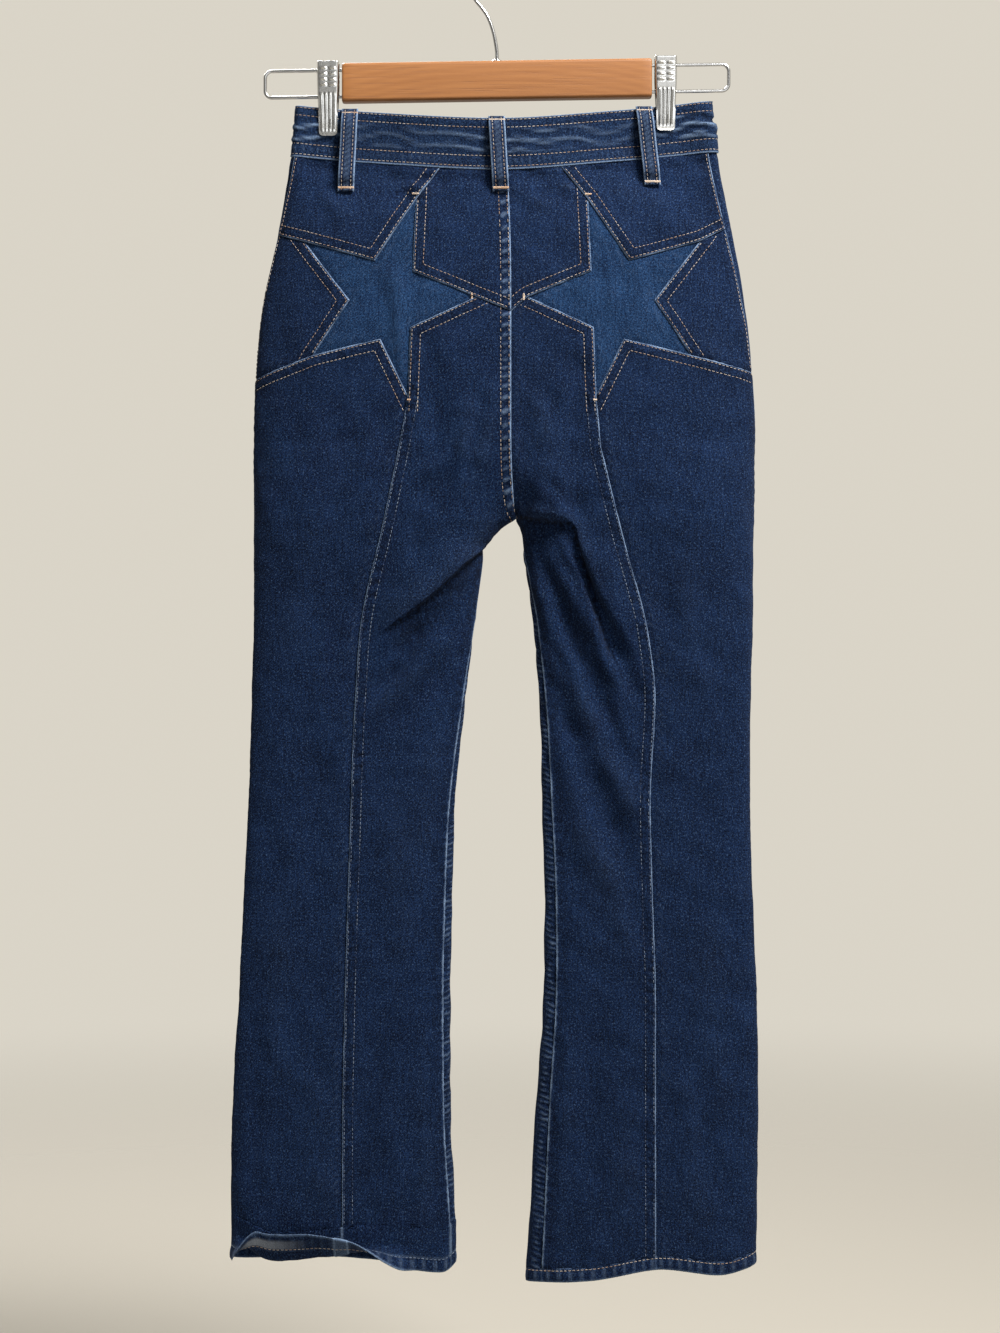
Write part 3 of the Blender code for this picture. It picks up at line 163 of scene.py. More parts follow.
# the creases that lie on the main form: start, end, bow, height, width above and below
creases = {
    "back": (
        # under the waistband and round the seat
        (-168, -174, -112, -181, 3, -1.5, 5, 6), (-104, -182, -36, -187, -3, -1.3, 5, 6),
        (-92, -192, -58, -198, 2, 1.0, 7, 6), (-34, -187, -6, -190, 1, -1.2, 4, 5),
        (14, -189, 60, -186, -2, -1.4, 5, 6), (66, -184, 118, -178, -3, -1.4, 5, 6),
        (138, -174, 182, -171, 3, -1.3, 5, 6), (96, -192, 150, -206, 5, 0.9, 9, 9),
        (20, -200, 52, -212, 3, 0.8, 7, 8), (-154, -190, -120, -216, -5, 0.8, 8, 9),
        (-88, -284, -81, -346, 2, 0.9, 3, 4), (96, -262, 92, -330, -2, 0.7, 4, 4),
        (-92, -250, -82, -345, 6, 1.0, 10, 12), (112, -236, 118, -350, -6, 0.8, 11, 12),
        (-60, -322, -52, -420, 5, -1.1, 9, 11), (66, -330, 60, -420, -4, -1.0, 9, 11),
        (-2, -360, -30, -452, 6, 1.3, 12, 10), (24, -360, 44, -446, -6, 1.1, 11, 12),
        (-30, -430, -70, -505, -8, -1.6, 9, 12), (-28, -392, -62, -440, 4, 1.0, 9, 9),
        (40, -440, 78, -470, 4, -1.0, 8, 10),
        # down the left leg
        (-22, -520, -92, -590, 5, -1.6, 10, 8), (-66, -566, -104, -626, 3, -2.4, 7, 9),
        (-40, -560, -110, -640, 8, 1.5, 11, 13), (-60, -610, -118, -680, 8, -1.2, 12, 14),
        (-44, -650, -60, -760, -5, 0.9, 14, 16), (-22, -372, -34, -428, 3, 1.7, 8, 9),
        (-150, -480, -176, -600, -6, 0.7, 16, 18), (-172, -620, -150, -760, 8, -0.7, 16, 16),
        (-92, -700, -80, -860, 6, 0.8, 16, 14), (-178, -780, -186, -960, -5, 0.9, 15, 17),
        (-90, -880, -110, -1060, -6, -0.9, 15, 16), (-160, -930, -150, -1080, 5, 0.8, 13, 15),
        (-60, -900, -66, -1080, 4, 0.9, 12, 12), (-205, -880, -208, -1060, 3, -0.7, 9, 10),
        # down the right leg
        (60, -486, 122, -630, 3, -3.2, 6, 7), (34, -500, 106, -664, 4, -1.9, 8, 9),
        (30, -520, 72, -610, 3, 1.3, 8, 8), (62, -590, 128, -735, 8, 1.6, 12, 13),
        (50, -620, 118, -770, 6, -1.5, 10, 12), (56, -680, 108, -800, 6, 1.0, 12, 12),
        (84, -740, 120, -850, 5, 1.0, 16, 15), (160, -480, 176, -640, 6, 0.8, 17, 16),
        (188, -600, 172, -760, -6, -0.7, 16, 17), (178, -800, 190, -980, 5, 0.9, 15, 15),
        (92, -860, 80, -1050, 6, -0.9, 15, 15), (158, -940, 166, -1090, -5, 0.8, 14, 14),
        (110, -960, 112, -1090, 4, 0.8, 12, 13), (60, -900, 54, -1090, 3, 0.8, 10, 11),
    ),
    "front": (
        (-150, -190, -60, -215, 6, 0.9, 10, 10), (60, -210, 150, -186, 6, 0.9, 10, 10),
        (-30, -380, -120, -450, 8, 1.4, 14, 14), (44, -380, 136, -450, -8, 1.4, 14, 14),
        (-10, -450, -110, -500, 8, -1.6, 12, 14), (36, -446, 120, -498, -8, -1.6, 12, 14),
        (-60, -560, -120, -680, 8, 1.3, 16, 16), (70, -560, 130, -690, -8, 1.3, 16, 16),
        (-90, -700, -150, -720, 5, -1.2, 12, 12), (90, -710, 150, -690, 5, -1.2, 12, 12),
        (-110, -760, -100, -980, 6, 0.9, 16, 16), (120, -760, 110, -980, 6, 0.9, 16, 16),
        (-170, -860, -180, -1060, 5, -0.8, 14, 14), (176, -860, 186, -1060, -5, -0.8, 14, 14),
    ),
}

# where cloth hangs over the cloth beside it: points with the higher side on the left, then the step's height,
# widths of its crown and its drop, depth of the groove below, and how dark the painted shadow in the groove is
overhangs = {
    left: (((-104, -574.5), (-88, -562.5), (-71, -550), (-50, -532.5), (-29, -511.5), (-8.9, -493)),
           4.2, 17, 1.8, 0.5, 0.9),
    right: (((16, -470), (22.4, -472), (33.7, -473.6), (45, -476), (55, -477), (62, -477.5), (66.5, -482),
             (71, -499.8), (80, -528), (86.5, -553.6), (97.5, -582), (110.5, -616)), 2.2, 8, 1.7, 1.0, 0.75),
}

cloth = {
    "grain": 2.6,   # spacing of the points along a seam
    "gridAcross": 3.4, "gridDown": 4.0, "frontGrid": 1.5,
    "thickness": 1.05, "tuck": 1.15, "reach": 2.2,
    "nap": 0.21,                               # unevenness of the cloth between its creases
}


class Leg:
    # half of the jeans as a surface of two parameters: a goes from 0 at the centre seam or inner fold over the
    # back to 1 at the outer fold and over the front to 2; z is the height. Each level is a squared-off ellipse,
    # half for each sheet, pinched flat at the clips, with the main folds added to its depth
    def __init__(self, side):
        self.side = side
        self.heights = np.arange(form["lowest"], form["highest"] + 0.1, form["step"])
        z = self.heights[:, None]
        pinch, count = form["pinch"], form["samples"]
        inner = np.where(z > form["crotch"], curveThrough(form["centreSeam"], z),
                         curveThrough(form["edges"][side], z))
        outer = curveThrough(form["edges"][side], z, 2)
        square = curveThrough(form["depths"], z, 3)
        turned = np.clip((form["crotch"] + form["crotchRise"] - z) / form["crotchRise"], 0, 1)
        start = -(turned ** (2 / square))
        first = np.arccos(-start)
        t = -np.cos(first + (math.pi - first) * np.linspace(0, 1, 320))
        share = np.clip((t - start) / (1 - start), 0, 1)
        x = inner + (outer - inner) * share
        rounded = np.sqrt(np.clip(1 - np.abs(t) ** square, 0, 1))
        pinched = ease((z - pinch["bottom"]) / (pinch["top"] - pinch["bottom"]))
        flat = np.clip(1 - (x / pinch["flatFrom"]) ** 2, 0, 1) ** 1.5
        ends = ease((np.abs(x) - pinch["flatTo"]) / pinch["opening"])
        waistDepth = pinch["flatDepth"] + (pinch["middleDepth"] - pinch["flatDepth"]) * flat
        waistDepth = waistDepth + (pinch["endDepth"] - pinch["flatDepth"]) * ends
        waistDepth = waistDepth * np.sqrt(1 - share ** pinch["endSquare"])
        fade = ease(np.abs(outer - x) / form["foldFade"])
        fade = fade * np.where(turned > 0, ease(0.25 + np.abs(x - inner) / form["foldFade"]), 1.0)
        sheets = []
        for sheet, sign, place in (("back", -1, 1), ("front", 1, 2)):
            depth = (1 - pinched) * rounded * curveThrough(form["depths"], z, place) + pinched * waistDepth
            depth = depth + self.mainFolds(sheet, x, z) * fade
            length = np.cumsum(np.hypot(np.diff(x, prepend=x[:, :1]), np.diff(depth, prepend=depth[:, :1])), axis=1)
            evenX, evenY = (np.array([np.interp(np.linspace(0, far[-1], count), far, row)
                                      for far, row in zip(length, table)]) for table in (x, depth))
            sheets.append((evenX, sign * evenY, length[:, -1]))
        (backX, backY, self.backLength), (frontX, frontY, self.frontLength) = sheets
        self.gridX = np.concatenate([backX, frontX[:, -2::-1]], axis=1)
        self.gridY = np.concatenate([backY, frontY[:, -2::-1]], axis=1)
        self.middleX = side * backX[:, count // 2]

    def mainFolds(self, sheet, x, z):
        # each fold is a ridge along a line, a bell across it with its own width above and below
        lift = np.zeros_like(x)
        for name, x0, z0, x1, z1, ridge, above, below in form["mainFolds"]:
            if name == sheet:
                run = np.array((x1 - x0, z1 - z0))
                length = np.hypot(*run)
                along = ((x - x0) * run[0] + (z - z0) * run[1]) / length
                away = ((x - x0) * run[1] - (z - z0) * run[0]) / length * np.sign(-run[0])
                ends = ease(1.25 * (1 - np.abs(2 * along / length - 1)))
                lift += ridge * bell(away, np.where(away > 0, above, below)) * ends
        return lift

    def read(self, grid, a, z):  # a grid read between its rows and columns
        a = np.where(z < form["crotch"], np.mod(a, 2.0), np.clip(a, 0.0, 2.0))
        across = np.clip(a / 2 * (grid.shape[1] - 1), 0, grid.shape[1] - 1.001)
        level = np.clip((z - self.heights[0]) / form["step"], 0, len(self.heights) - 1.001)
        c, r = across.astype(int), level.astype(int)
        u, v = across - c, level - r
        return ((grid[r, c] * (1 - u) + grid[r, c + 1] * u) * (1 - v)
                + (grid[r + 1, c] * (1 - u) + grid[r + 1, c + 1] * u) * v)

    def place(self, a, z):  # above the crotch the cloth beyond the centre seam is its own mirror image
        edge = np.where(a < 0, 0.0, 2.0)
        beyond = (z >= form["crotch"]) & ((a < 0) | (a > 2))
        inside = np.where(beyond, 2 * edge - a, a)
        x, y = self.read(self.gridX, inside, z), self.read(self.gridY, inside, z)
        return np.where(beyond, 2 * self.read(self.gridX, edge, z) - x, x), y

    def normal(self, a, z):  # level, and pointing out of the cloth
        (x0, y0), (x1, y1) = self.place(a - 0.012, z), self.place(a + 0.012, z)
        size = np.maximum(np.hypot(x1 - x0, y1 - y0), 1e-9)
        return self.side * stacked((y1 - y0) / size, -(x1 - x0) / size, 0.0)

    def point(self, a, z, lift=0.0):
        a, z = np.broadcast_arrays(np.asarray(a, dtype=float), np.asarray(z, dtype=float))
        return stacked(*self.place(a, z), z) + self.normal(a, z) * np.asarray(lift)[..., None]

    def shareAt(self, x, z, sheet="back"):  # found by halving, since x runs one way over a sheet
        x, z = np.broadcast_arrays(np.asarray(x, dtype=float), np.asarray(z, dtype=float))
        low, high = np.full_like(x, 0.0 if sheet == "back" else 2.0), np.ones_like(x)
        for _ in range(26):
            middle = (low + high) / 2
            short = self.side * self.read(self.gridX, middle, z) < self.side * x
            low, high = np.where(short, middle, low), np.where(short, high, middle)
        return (low + high) / 2

    def level(self, z):  # lengths of the back and front sheets, and where the back's middle stands
        return (np.interp(z, self.heights, row) for row in (self.backLength, self.frontLength, self.middleX))

    # the flat chart, in millimetres: u follows the cloth level by level, true to x down the middle of the back
    def toFlat(self, a, z):
        back, front, middle = self.level(z)
        return (middle - back / 2 + np.clip(a, None, 0) * front + np.clip(a, 0, 1) * back
                + (np.clip(a, 1, 2) - 1) * front + np.clip(a - 2, 0, None) * back)

    def toShare(self, u, z):
        back, front, middle = self.level(z)
        u = u - middle + back / 2
        return (np.clip(u, None, 0) / front + np.clip(u, 0, back) / back
                + np.clip(u - back, 0, front) / front + np.clip(u - back - front, 0, None) / back)

    def onChart(self, a, z):
        return stacked(self.toFlat(a, z), z)

    def flatPoint(self, x, z, sheet="back"):
        x, z = np.broadcast_arrays(np.asarray(x, dtype=float), np.asarray(z, dtype=float))
        return self.onChart(self.shareAt(x, z, sheet), z)

    def offChart(self, flat):  # points of the cloth at places on the chart, and the way out of it there
        share = self.toShare(*flat.T)
        return self.point(share, flat[:, 1]), self.normal(share, flat[:, 1])

    def sideShare(self, z):
        offset = curveThrough(seams["offsets"][self.side], z)
        back, front, _ = self.level(z)
        return 1 - offset / np.where(offset > 0, back, front)

    def inseamShare(self, z):
        return curveThrough(seams["offsets"][self.side], z, 2) / next(self.level(z))

    def legSeamShare(self, z):
        return self.shareAt(curveThrough(seams["legSeams"][self.side], z), z)

    def waistAt(self, a, drop=0.0):  # height of the band's top edge, or of a line that lies drop below it
        z = np.full_like(a, -150.0)
        for _ in range(8):
            x = self.point(a, z)[..., 0]
            behind, before = (curveThrough(form["waistTop"], x, place) for place in (1, 2))
            z = np.where(a <= 1.0, behind, before) - drop
        return z

    def hemAt(self, a, rise):  # height of a line that lies rise above the lowest edge, blended over the folds
        around = np.mod(a, 2.0)
        x = self.point(around, np.full_like(around, -1095.0))[..., 0]
        behind, before = (curveThrough(form["hemLines"][self.side], x, place) + rise for place in (1, 2))
        front = ease((around - 0.94) / 0.12) * (1 - ease((around - 1.94) / 0.06))
        return behind * (1 - front) + before * front


legs = {side: Leg(side) for side in (left, right)}

# faint waves all over the cloth: starts, headings and lengths
noiseWaves = {side: (rng.uniform(0, 2 * math.pi, 18), rng.uniform(0, math.pi, 18), rng.uniform(11, 46, 18))
              for side in legs}


def clothRelief(leg, flat):
    # creases are bells across a bowed line, uneven along it; between them lie many faint waves.
    # Returns the lift, and how far each point is a crest or a hollow; this tints the cloth, a little paler on
    # crests as worn and darker with painted shade in hollows and under overhangs
    u, z = flat[:, 0], flat[:, 1]
    lift, crest = np.zeros(len(u)), np.zeros(len(u))
    for place, (sheet, x0, z0, x1, z1, bow, height, above, below) in enumerate(
            (sheet, *row) for sheet, rows in creases.items() for row in rows):
        if (x0 + x1 > 24) != (leg.side == right):
            continue
        start, end = leg.flatPoint([x0, x1], [z0, z1], sheet)
        run = end - start
        length = np.hypot(*run)
        along = ((u - start[0]) * run[0] + (z - start[1]) * run[1]) / length ** 2
        away = ((u - start[0]) * run[1] - (z - start[1]) * run[0]) / length
        near = (along > -0.3) & (along < 1.3) & (np.abs(away) < 60)
        along, away = along[near], away[near] - bow * 4 * along[near] * (1 - along[near])
        uneven = 1 + 0.28 * np.sin(along * 9 + place) + 0.16 * np.sin(along * 23 + 2.3 * place)
        width = np.where(away > 0, above, below) * (0.8 + 0.25 * np.sin(along * 6 + 1.7 * place))
        ends = ease(1.6 * (0.62 - np.abs(along - 0.5)) / 0.62)
        ridge = bell(away, width) * ends * uneven
        lift[near] += 1.6 * height * (ridge - bell(np.abs(away) - 1.9 * width, 0.9 * width) * 0.35 * ends)
        crest[near] += np.sign(height) * ridge * min(1.0, abs(height) / 1.6)
    points, height, crown, drop, groove, dark = overhangs[leg.side]
    line = leg.flatPoint(*np.array(points, dtype=float).T)
    if leg.side == left:
        line[-1] += (line[-1] - line[-2]) * 0.6    # carried on over the fold
    near = np.hypot(*(flat - line.mean(axis=0)).T) < 150
    away, along = nearest(line, flat[near])
    left0, left1 = (nearest(shiftLine(line, offset), flat[near])[0] for offset in (-0.4, 0.4))
    over = leg.side * (left0 - left1) > 0
    total = distances(line)[-1]
    held = ease(along / 34) if leg.side == left else ease(along / 5) * (1 - ease((along - total + 50) / 50))
    step = bell(away, np.where(over, crown, drop))
    lift[near] += held * (height * step - groove * np.where(over, 0.0, bell(away - 2.2 * drop, 2.4 * drop)))
    # painted shadow: the groove below the overhang and the cloth beneath it are darkened, the crown above it a
    # touch paler
    shade = 6 * bell(away - drop, 1.6 * drop) + 4.2 * np.exp(-away / 30)
    crest[near] += held * np.where(over, 1.5 * step, -dark * shade)
    turns, headings, lengths = noiseWaves[leg.side]
    for turn, heading, length in zip(turns, headings, lengths):
        wave = np.sin((u * math.cos(heading) + z * math.sin(heading)) * 2 * math.pi / length + turn
                      + 1.3 * np.sin(z / 61 + turn * 3) + 0.9 * np.sin(u / 43 + turn * 5))
        lift += cloth["nap"] * wave * length / 46
        crest += 0.03 * wave * length / 46
    folds = [np.abs(u - leg.toFlat(share, z)) for share in (0.0, 1.0, 2.0)]
    inner = np.where(z < form["crotch"] - 30, np.minimum(folds[0], folds[2]), 99.0)
    return lift * (0.35 + 0.65 * ease(np.minimum(inner, folds[1]) / 15)), crest


# a folded panel edge with its rows of stitches: distance from the edge, lift
edgeProfiles = {
    "twin": ((0.0, 0.05), (0.45, 0.46), (1.1, 0.62), (1.8, 0.36), (2.6, 0.54), (5.2, 0.5), (7.8, 0.46), (8.8, 0.1),
             (10.0, 0.16), (14.0, 0.0)),
    "single": ((0.0, 0.05), (0.45, 0.46), (1.1, 0.6), (2.2, 0.3), (3.4, 0.42), (7.0, 0.3), (11.0, 0.0)),
    "plain": ((0.0, 0.1), (0.5, 0.5), (1.3, 0.55), (3.0, 0.3), (8.0, 0.18), (12.0, 0.0)),
}
rowOffsets = {"twin": (1.8, 8.8), "single": (2.2,), "plain": ()}


def shiftLine(points, amounts, closed=False):
    # each corner moves to where its two sides meet once they are moved over to the left by their amounts
    points = np.asarray(points, dtype=float)
    amounts = np.broadcast_to(np.asarray(amounts, dtype=float), (len(points) - (0 if closed else 1),))
    run = (np.roll(points, -1, axis=0) - points) if closed else np.diff(points, axis=0)
    run = run / np.linalg.norm(run, axis=1, keepdims=True)
    across = stacked(-run[:, 1], run[:, 0])
    if closed:
        before, beforeAmount, after, afterAmount = np.roll(across, 1, axis=0), np.roll(amounts, 1), across, amounts
    else:
        before, after = np.concatenate([across[:1], across]), np.concatenate([across, across[-1:]])
        beforeAmount, afterAmount = np.append(amounts[:1], amounts), np.append(amounts, amounts[-1:])
    dot = np.sum(before * after, axis=1)
    room = np.maximum(1 - dot ** 2, 1e-9)
    first = (beforeAmount - afterAmount * dot) / room
    second = (afterAmount - beforeAmount * dot) / room
    meet = before * first[:, None] + after * second[:, None]
    mean = (before + after) * ((beforeAmount + afterAmount) / 2 / np.maximum(1 + dot, 0.1))[:, None]
    move = np.where((np.abs(dot) > 0.995)[:, None], mean, meet)
    size = np.linalg.norm(move, axis=1, keepdims=True)
    most = 3.4 * np.maximum(np.abs(beforeAmount), np.abs(afterAmount))[:, None] + 1e-9
    return points + move * np.minimum(1.0, most / np.maximum(size, 1e-9))


def cutUp(points, longest, closed=False):  # a line cut into even steps between its corners
    points = np.asarray(points, dtype=float)
    ends = np.roll(points, -1, axis=0) if closed else points[1:]
    parts = []
    for start, end in zip(points, ends):
        count = max(1, math.ceil(np.hypot(*(end - start)) / longest - 1e-6))
        parts.append(start + (end - start) * np.arange(count)[:, None] / count)
    return np.concatenate(parts if closed else parts + [points[-1:]])


def nearest(line, points, closed=False):
    # distance from each point to a line of straight runs, and how far along the line the nearest place is
    start = np.asarray(line, dtype=float)
    end = np.roll(start, -1, axis=0) if closed else start[1:]
    start = start if closed else start[:-1]
    run = end - start
    lengths = np.linalg.norm(run, axis=1)
    before = np.append(0, np.cumsum(lengths))[:-1]
    best, along = np.full(len(points), 1e9), np.zeros(len(points))
    for s, r, length, soFar in zip(start, run, lengths, before):
        share = np.clip((points - s) @ r / max(length ** 2, 1e-9), 0, 1)
        away = np.hypot(*(points - s - share[:, None] * r).T)
        closer = away < best
        best = np.where(closer, away, best)
        along = np.where(closer, soFar + share * length, along)
    return best, along


def within(outline, points):
    inside = np.zeros(len(points), dtype=bool)
    for start, end in zip(outline, np.roll(outline, -1, axis=0)):
        if start[1] != end[1]:
            crosses = (start[1] > points[:, 1]) != (end[1] > points[:, 1])
            reach = start[0] + (points[:, 1] - start[1]) / (end[1] - start[1]) * (end[0] - start[0])
            inside ^= crosses & (points[:, 0] < reach)
    return inside


def addPiece(name, points, faces, material, uv=None, layers=None, replaces=(), sharp=None):
    mesh = bpy.data.meshes.new(name)
    mesh.from_pydata(np.asarray(points).tolist(), [], faces if isinstance(faces, list) else faces.tolist())
    mesh.polygons.foreach_set("use_smooth", np.ones(len(mesh.polygons), dtype=bool))
    if uv is not None:
        corners = np.zeros(len(mesh.loops), dtype=np.int32)
        mesh.loops.foreach_get("vertex_index", corners)
        mesh.uv_layers.new(name="cloth").data.foreach_set("uv", np.asarray(uv)[corners].astype(np.float32).ravel())
    for key, values in (layers or {}).items():
        mesh.attributes.new(key, "FLOAT", "POINT").data.foreach_set("value", np.asarray(values, dtype=np.float32))
    if sharp is not None:
        mesh.set_sharp_from_angle(angle=math.radians(sharp))
    mesh.materials.append(material)
    piece = bpy.data.objects.new(name, mesh)
    bpy.context.scene.collection.objects.link(piece)
    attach(piece, "root")
    if replaces:
        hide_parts(*replaces)
    return piece


def closedShell(outer, inner, triangles):
    # two skins of the same triangles with a wall round every open edge
    count = len(outer)
    edges = np.concatenate([triangles[:, [0, 1]], triangles[:, [1, 2]], triangles[:, [2, 0]]])
    ordered = np.sort(edges, axis=1)
    _, first, times = np.unique(ordered, axis=0, return_index=True, return_counts=True)
    rim = edges[first[times == 1]]
    wall = stacked(rim[:, 1], rim[:, 0], rim[:, 0] + count, rim[:, 1] + count)
    faces = triangles.tolist() + (triangles[:, ::-1] + count).tolist() + wall.tolist()
    return np.concatenate([outer, inner]), faces


def ringFaces(rows, around, closed=False):  # quads between neighbouring rings
    r, c = np.arange(rows if closed else rows - 1)[:, None], np.arange(around)[None, :]
    r2, c2 = (r + 1) % rows, (c + 1) % around
    return stacked(r * around + c, r * around + c2, r2 * around + c2, r2 * around + c).reshape(-1, 4).tolist()


def ringSolid(rings, closed=False, flip=False):
    # a profile carried along a path: rows of rings joined by quads, with a flat cap at each open end
    rows, around = rings.shape[:2]
    faces = ringFaces(rows, around, closed)
    if not closed:
        faces += [list(range(around))[::-1], list(range((rows - 1) * around, rows * around))]
    if flip:
        faces = [face[::-1] for face in faces]
    return rings.reshape(-1, 3), faces


def tube(path, radius, sides):
    # circles carried along a path, each turned as little as its neighbours allow
    run = np.gradient(path, axis=0)
    run /= np.linalg.norm(run, axis=1, keepdims=True)
    across, sideways = np.cross(run[0], (0.31, 0.87, 0.38)), []
    for direction in run:
        across = across - direction * np.dot(across, direction)
        across = across / np.linalg.norm(across)
        sideways.append(across)
    sideways = np.array(sideways)
    turn = circleTurns(sides)[:, None]
    circles = np.cos(turn) * sideways[:, None] + np.sin(turn) * np.cross(run, sideways)[:, None]
    return ringSolid(path[:, None] + np.reshape(radius, (-1, 1, 1)) * circles)


def gathered(parts):  # several meshes as one
    points, faces, base = [], [], 0
    for partPoints, partFaces in parts:
        points.append(partPoints)
        faces += [[corner + base for corner in face] for face in partFaces]
        base += len(partPoints)
    return np.concatenate(points), faces


class Wire:
    # a socket that takes part in Python expressions; each operator adds its Math node
    def __init__(self, tree, socket=None):
        self.tree, self.socket = tree, socket

    def node(self, kind, sockets=(), output=0, **settings):
        made = self.tree.nodes.new(kind)
        for key, value in settings.items():
            setattr(made, key, value)
        for key, value in dict(sockets).items():
            if isinstance(value, Wire):
                self.tree.links.new(value.socket, made.inputs[key])
            elif value is not None:
                made.inputs[key].default_value = value
        return Wire(self.tree, made.outputs[output])

    def maths(self, operation, first, second=None):
        return self.node("ShaderNodeMath", {0: first, 1: second}, operation=operation)

    def __add__(self, other): return self.maths("ADD", self, other)
    def __sub__(self, other): return self.maths("SUBTRACT", self, other)
    def __rsub__(self, other): return self.maths("SUBTRACT", other, self)
    def __mul__(self, other): return self.maths("MULTIPLY", self, other)
    def sine(self): return self.maths("SINE", self)
    def held(self): return self.node("ShaderNodeClamp", {"Value": self})
    def part(self, place): return self.node("ShaderNodeSeparateXYZ", {0: self}, output=place)
    def layer(self, name): return self.node("ShaderNodeAttribute", attribute_name=name, output=2)
    def objectPlace(self): return self.node("ShaderNodeTexCoord", output=3)
    def bump(self, distance): return self.node("ShaderNodeBump", {"Height": self, "Distance": distance})

    def between(self, low, high):  # 0 below low, 1 above high, smooth between
        return self.node("ShaderNodeMapRange", {"Value": self, "From Min": low, "From Max": high},
                         interpolation_type="SMOOTHSTEP")

    def noise(self, scale, detail=2.0, stretch=(1, 1, 1), roughness=0.5):
        placed = self.node("ShaderNodeMapping", {"Vector": self, "Scale": stretch})
        return self.node("ShaderNodeTexNoise", {"Vector": placed, "Scale": scale, "Detail": detail,
                                                "Roughness": roughness})

    def blend(self, *colours):  # a colour between two, by this mask
        first, second = (colour if isinstance(colour, Wire) else (*colour, 1.0) for colour in colours)
        return self.node("ShaderNodeMix", {0: self, 6: first, 7: second}, 2, data_type="RGBA")

    __radd__, __rmul__ = __add__, __mul__


def newMaterial(name, fixed):
    material = bpy.data.materials.new(name)
    material.use_nodes = True
    for key, value in fixed.items():
        material.node_tree.nodes["Principled BSDF"].inputs[key].default_value = value
    return material, Wire(material.node_tree)


def connect(wires, links):
    for key, value in links.items():
        wires.tree.links.new(value.socket, wires.tree.nodes["Principled BSDF"].inputs[key])


def tinted(colour, *tint):
    return tuple(part * share for part, share in zip(colour, tint if len(tint) > 1 else tint * 3))


denimLook = {
    "tones": {  # the warp where it is darkest, and its middle tone
        "indigoDenim": ((0.0005, 0.0018, 0.0080), (0.0057, 0.0164, 0.0505)),
        "starDenim": ((0.0014, 0.0056, 0.020), (0.0102, 0.0325, 0.084)),
        "bandDenim": ((0.0007, 0.0021, 0.0080), (0.0078, 0.0205, 0.056)),
        "loopDenim": ((0.0014, 0.0034, 0.011), (0.0105, 0.0215, 0.053)),
    },
    "worn": (0.115, 0.165, 0.25), "wrongSide": ((0.05, 0.06, 0.085), (0.21, 0.23, 0.26)),
}


def denimMaterial(name):
    # indigo warp over pale weft: twill lines rise to the right, the warp is slubby, crests and ridges are worn;
    # grooves, hollows and the cloth under overhangs are darkened with painted shade
    material, wires = newMaterial(name, {
        "Sheen Weight": 0.03, "Sheen Roughness": 0.5, "Sheen Tint": (0.45, 0.6, 1.0, 1.0),
        "Specular IOR Level": 0.06})
    (dark, middle), worn = denimLook["tones"][name], denimLook["worn"]
    chart = wires.node("ShaderNodeUVMap", uv_map="cloth")
    across, down = chart.part(0) * 1000, chart.part(1) * 1000
    wearAndShade = wires.layer("wearAndShade")
    waver = chart.noise(90, 2)
    twill = ((across * 1.9 - down * 1.1) * 2.6 + waver * 5.0).sine()
    yarn = (across * 13.5 + waver * 9.0).sine()
    grains = chart.noise(930, 3, (1, 0.8, 1), 0.7)
    slub = chart.noise(420, 3, (1, 0.14, 1), 0.62)
    cloud = chart.noise(26, 4, (1, 0.7, 1), 0.6)
    specks = chart.noise(720, 2, (1, 0.75, 1), 0.7).between(0.55, 0.70)
    shade = 0.40 + twill * 0.2 + yarn * 0.06 + (grains - 0.5) * 5.4 + (slub - 0.5) * 1.4 + (cloud - 0.5) * 0.7
    cloth = shade.held().blend(dark, middle)
    # close puckers that cross the strip beside the inseams, bumped and also painted into the colour: paler crests,
    # painted shade between them
    rungs = wires.layer("rungs") * (down * 1.34 + across * 0.4 + waver * 5.0).sine()
    wearAndShade = wearAndShade + rungs * 0.19
    rubbed = (wearAndShade * (grains * 3.2 - 0.6)).held()
    cloth = (specks * (0.26 + rubbed * 0.4)).blend(cloth, tinted(worn, 0.72, 0.9, 1.1))
    cloth = rubbed.blend(cloth, worn)
    # painted shade: where the vertex attribute is below zero, the cloth is darkened towards a deep indigo
    mottle = chart.noise(250, 2, (1, 0.8, 1), 0.6).between(0.36, 0.62)
    cloth = ((0 - wearAndShade) * (1.25 - mottle * 1.1)).held().blend(cloth, tinted(dark, 0.35))
    weft = (0.5 + (grains - 0.5) * 0.9 + yarn * 0.12 + (slub - 0.5) * 0.6).held().blend(*denimLook["wrongSide"])
    cloth = wires.layer("backing").blend(cloth, weft)
    height = twill * 0.5 + yarn * 0.25 + (grains - 0.5) * 1.2 + (slub - 0.5) * 0.9 + rungs * 2.0
    connect(wires, {"Base Color": cloth, "Roughness": 0.93 - rubbed * 0.1, "Normal": height.bump(0.00013)})
    return material


def threadMaterial(name, colour, second):
    # two-ply cotton: short slanting shadows along each stitch, the colour varying from one stitch to the next
    material, wires = newMaterial(name, {
        "Sheen Weight": 0.04, "Sheen Roughness": 0.4, "Specular IOR Level": 0.2})
    place = wires.objectPlace()
    plies, patches = place.noise(2200, 1), place.noise(65, 2)
    mixed = (patches.between(0.38, 0.62) * 0.8 + (plies - 0.5) * 0.7).held().blend(colour, second)
    connect(wires, {"Base Color": mixed, "Roughness": 0.65 + plies * 0.2, "Normal": plies.bump(0.0001)})
    return material


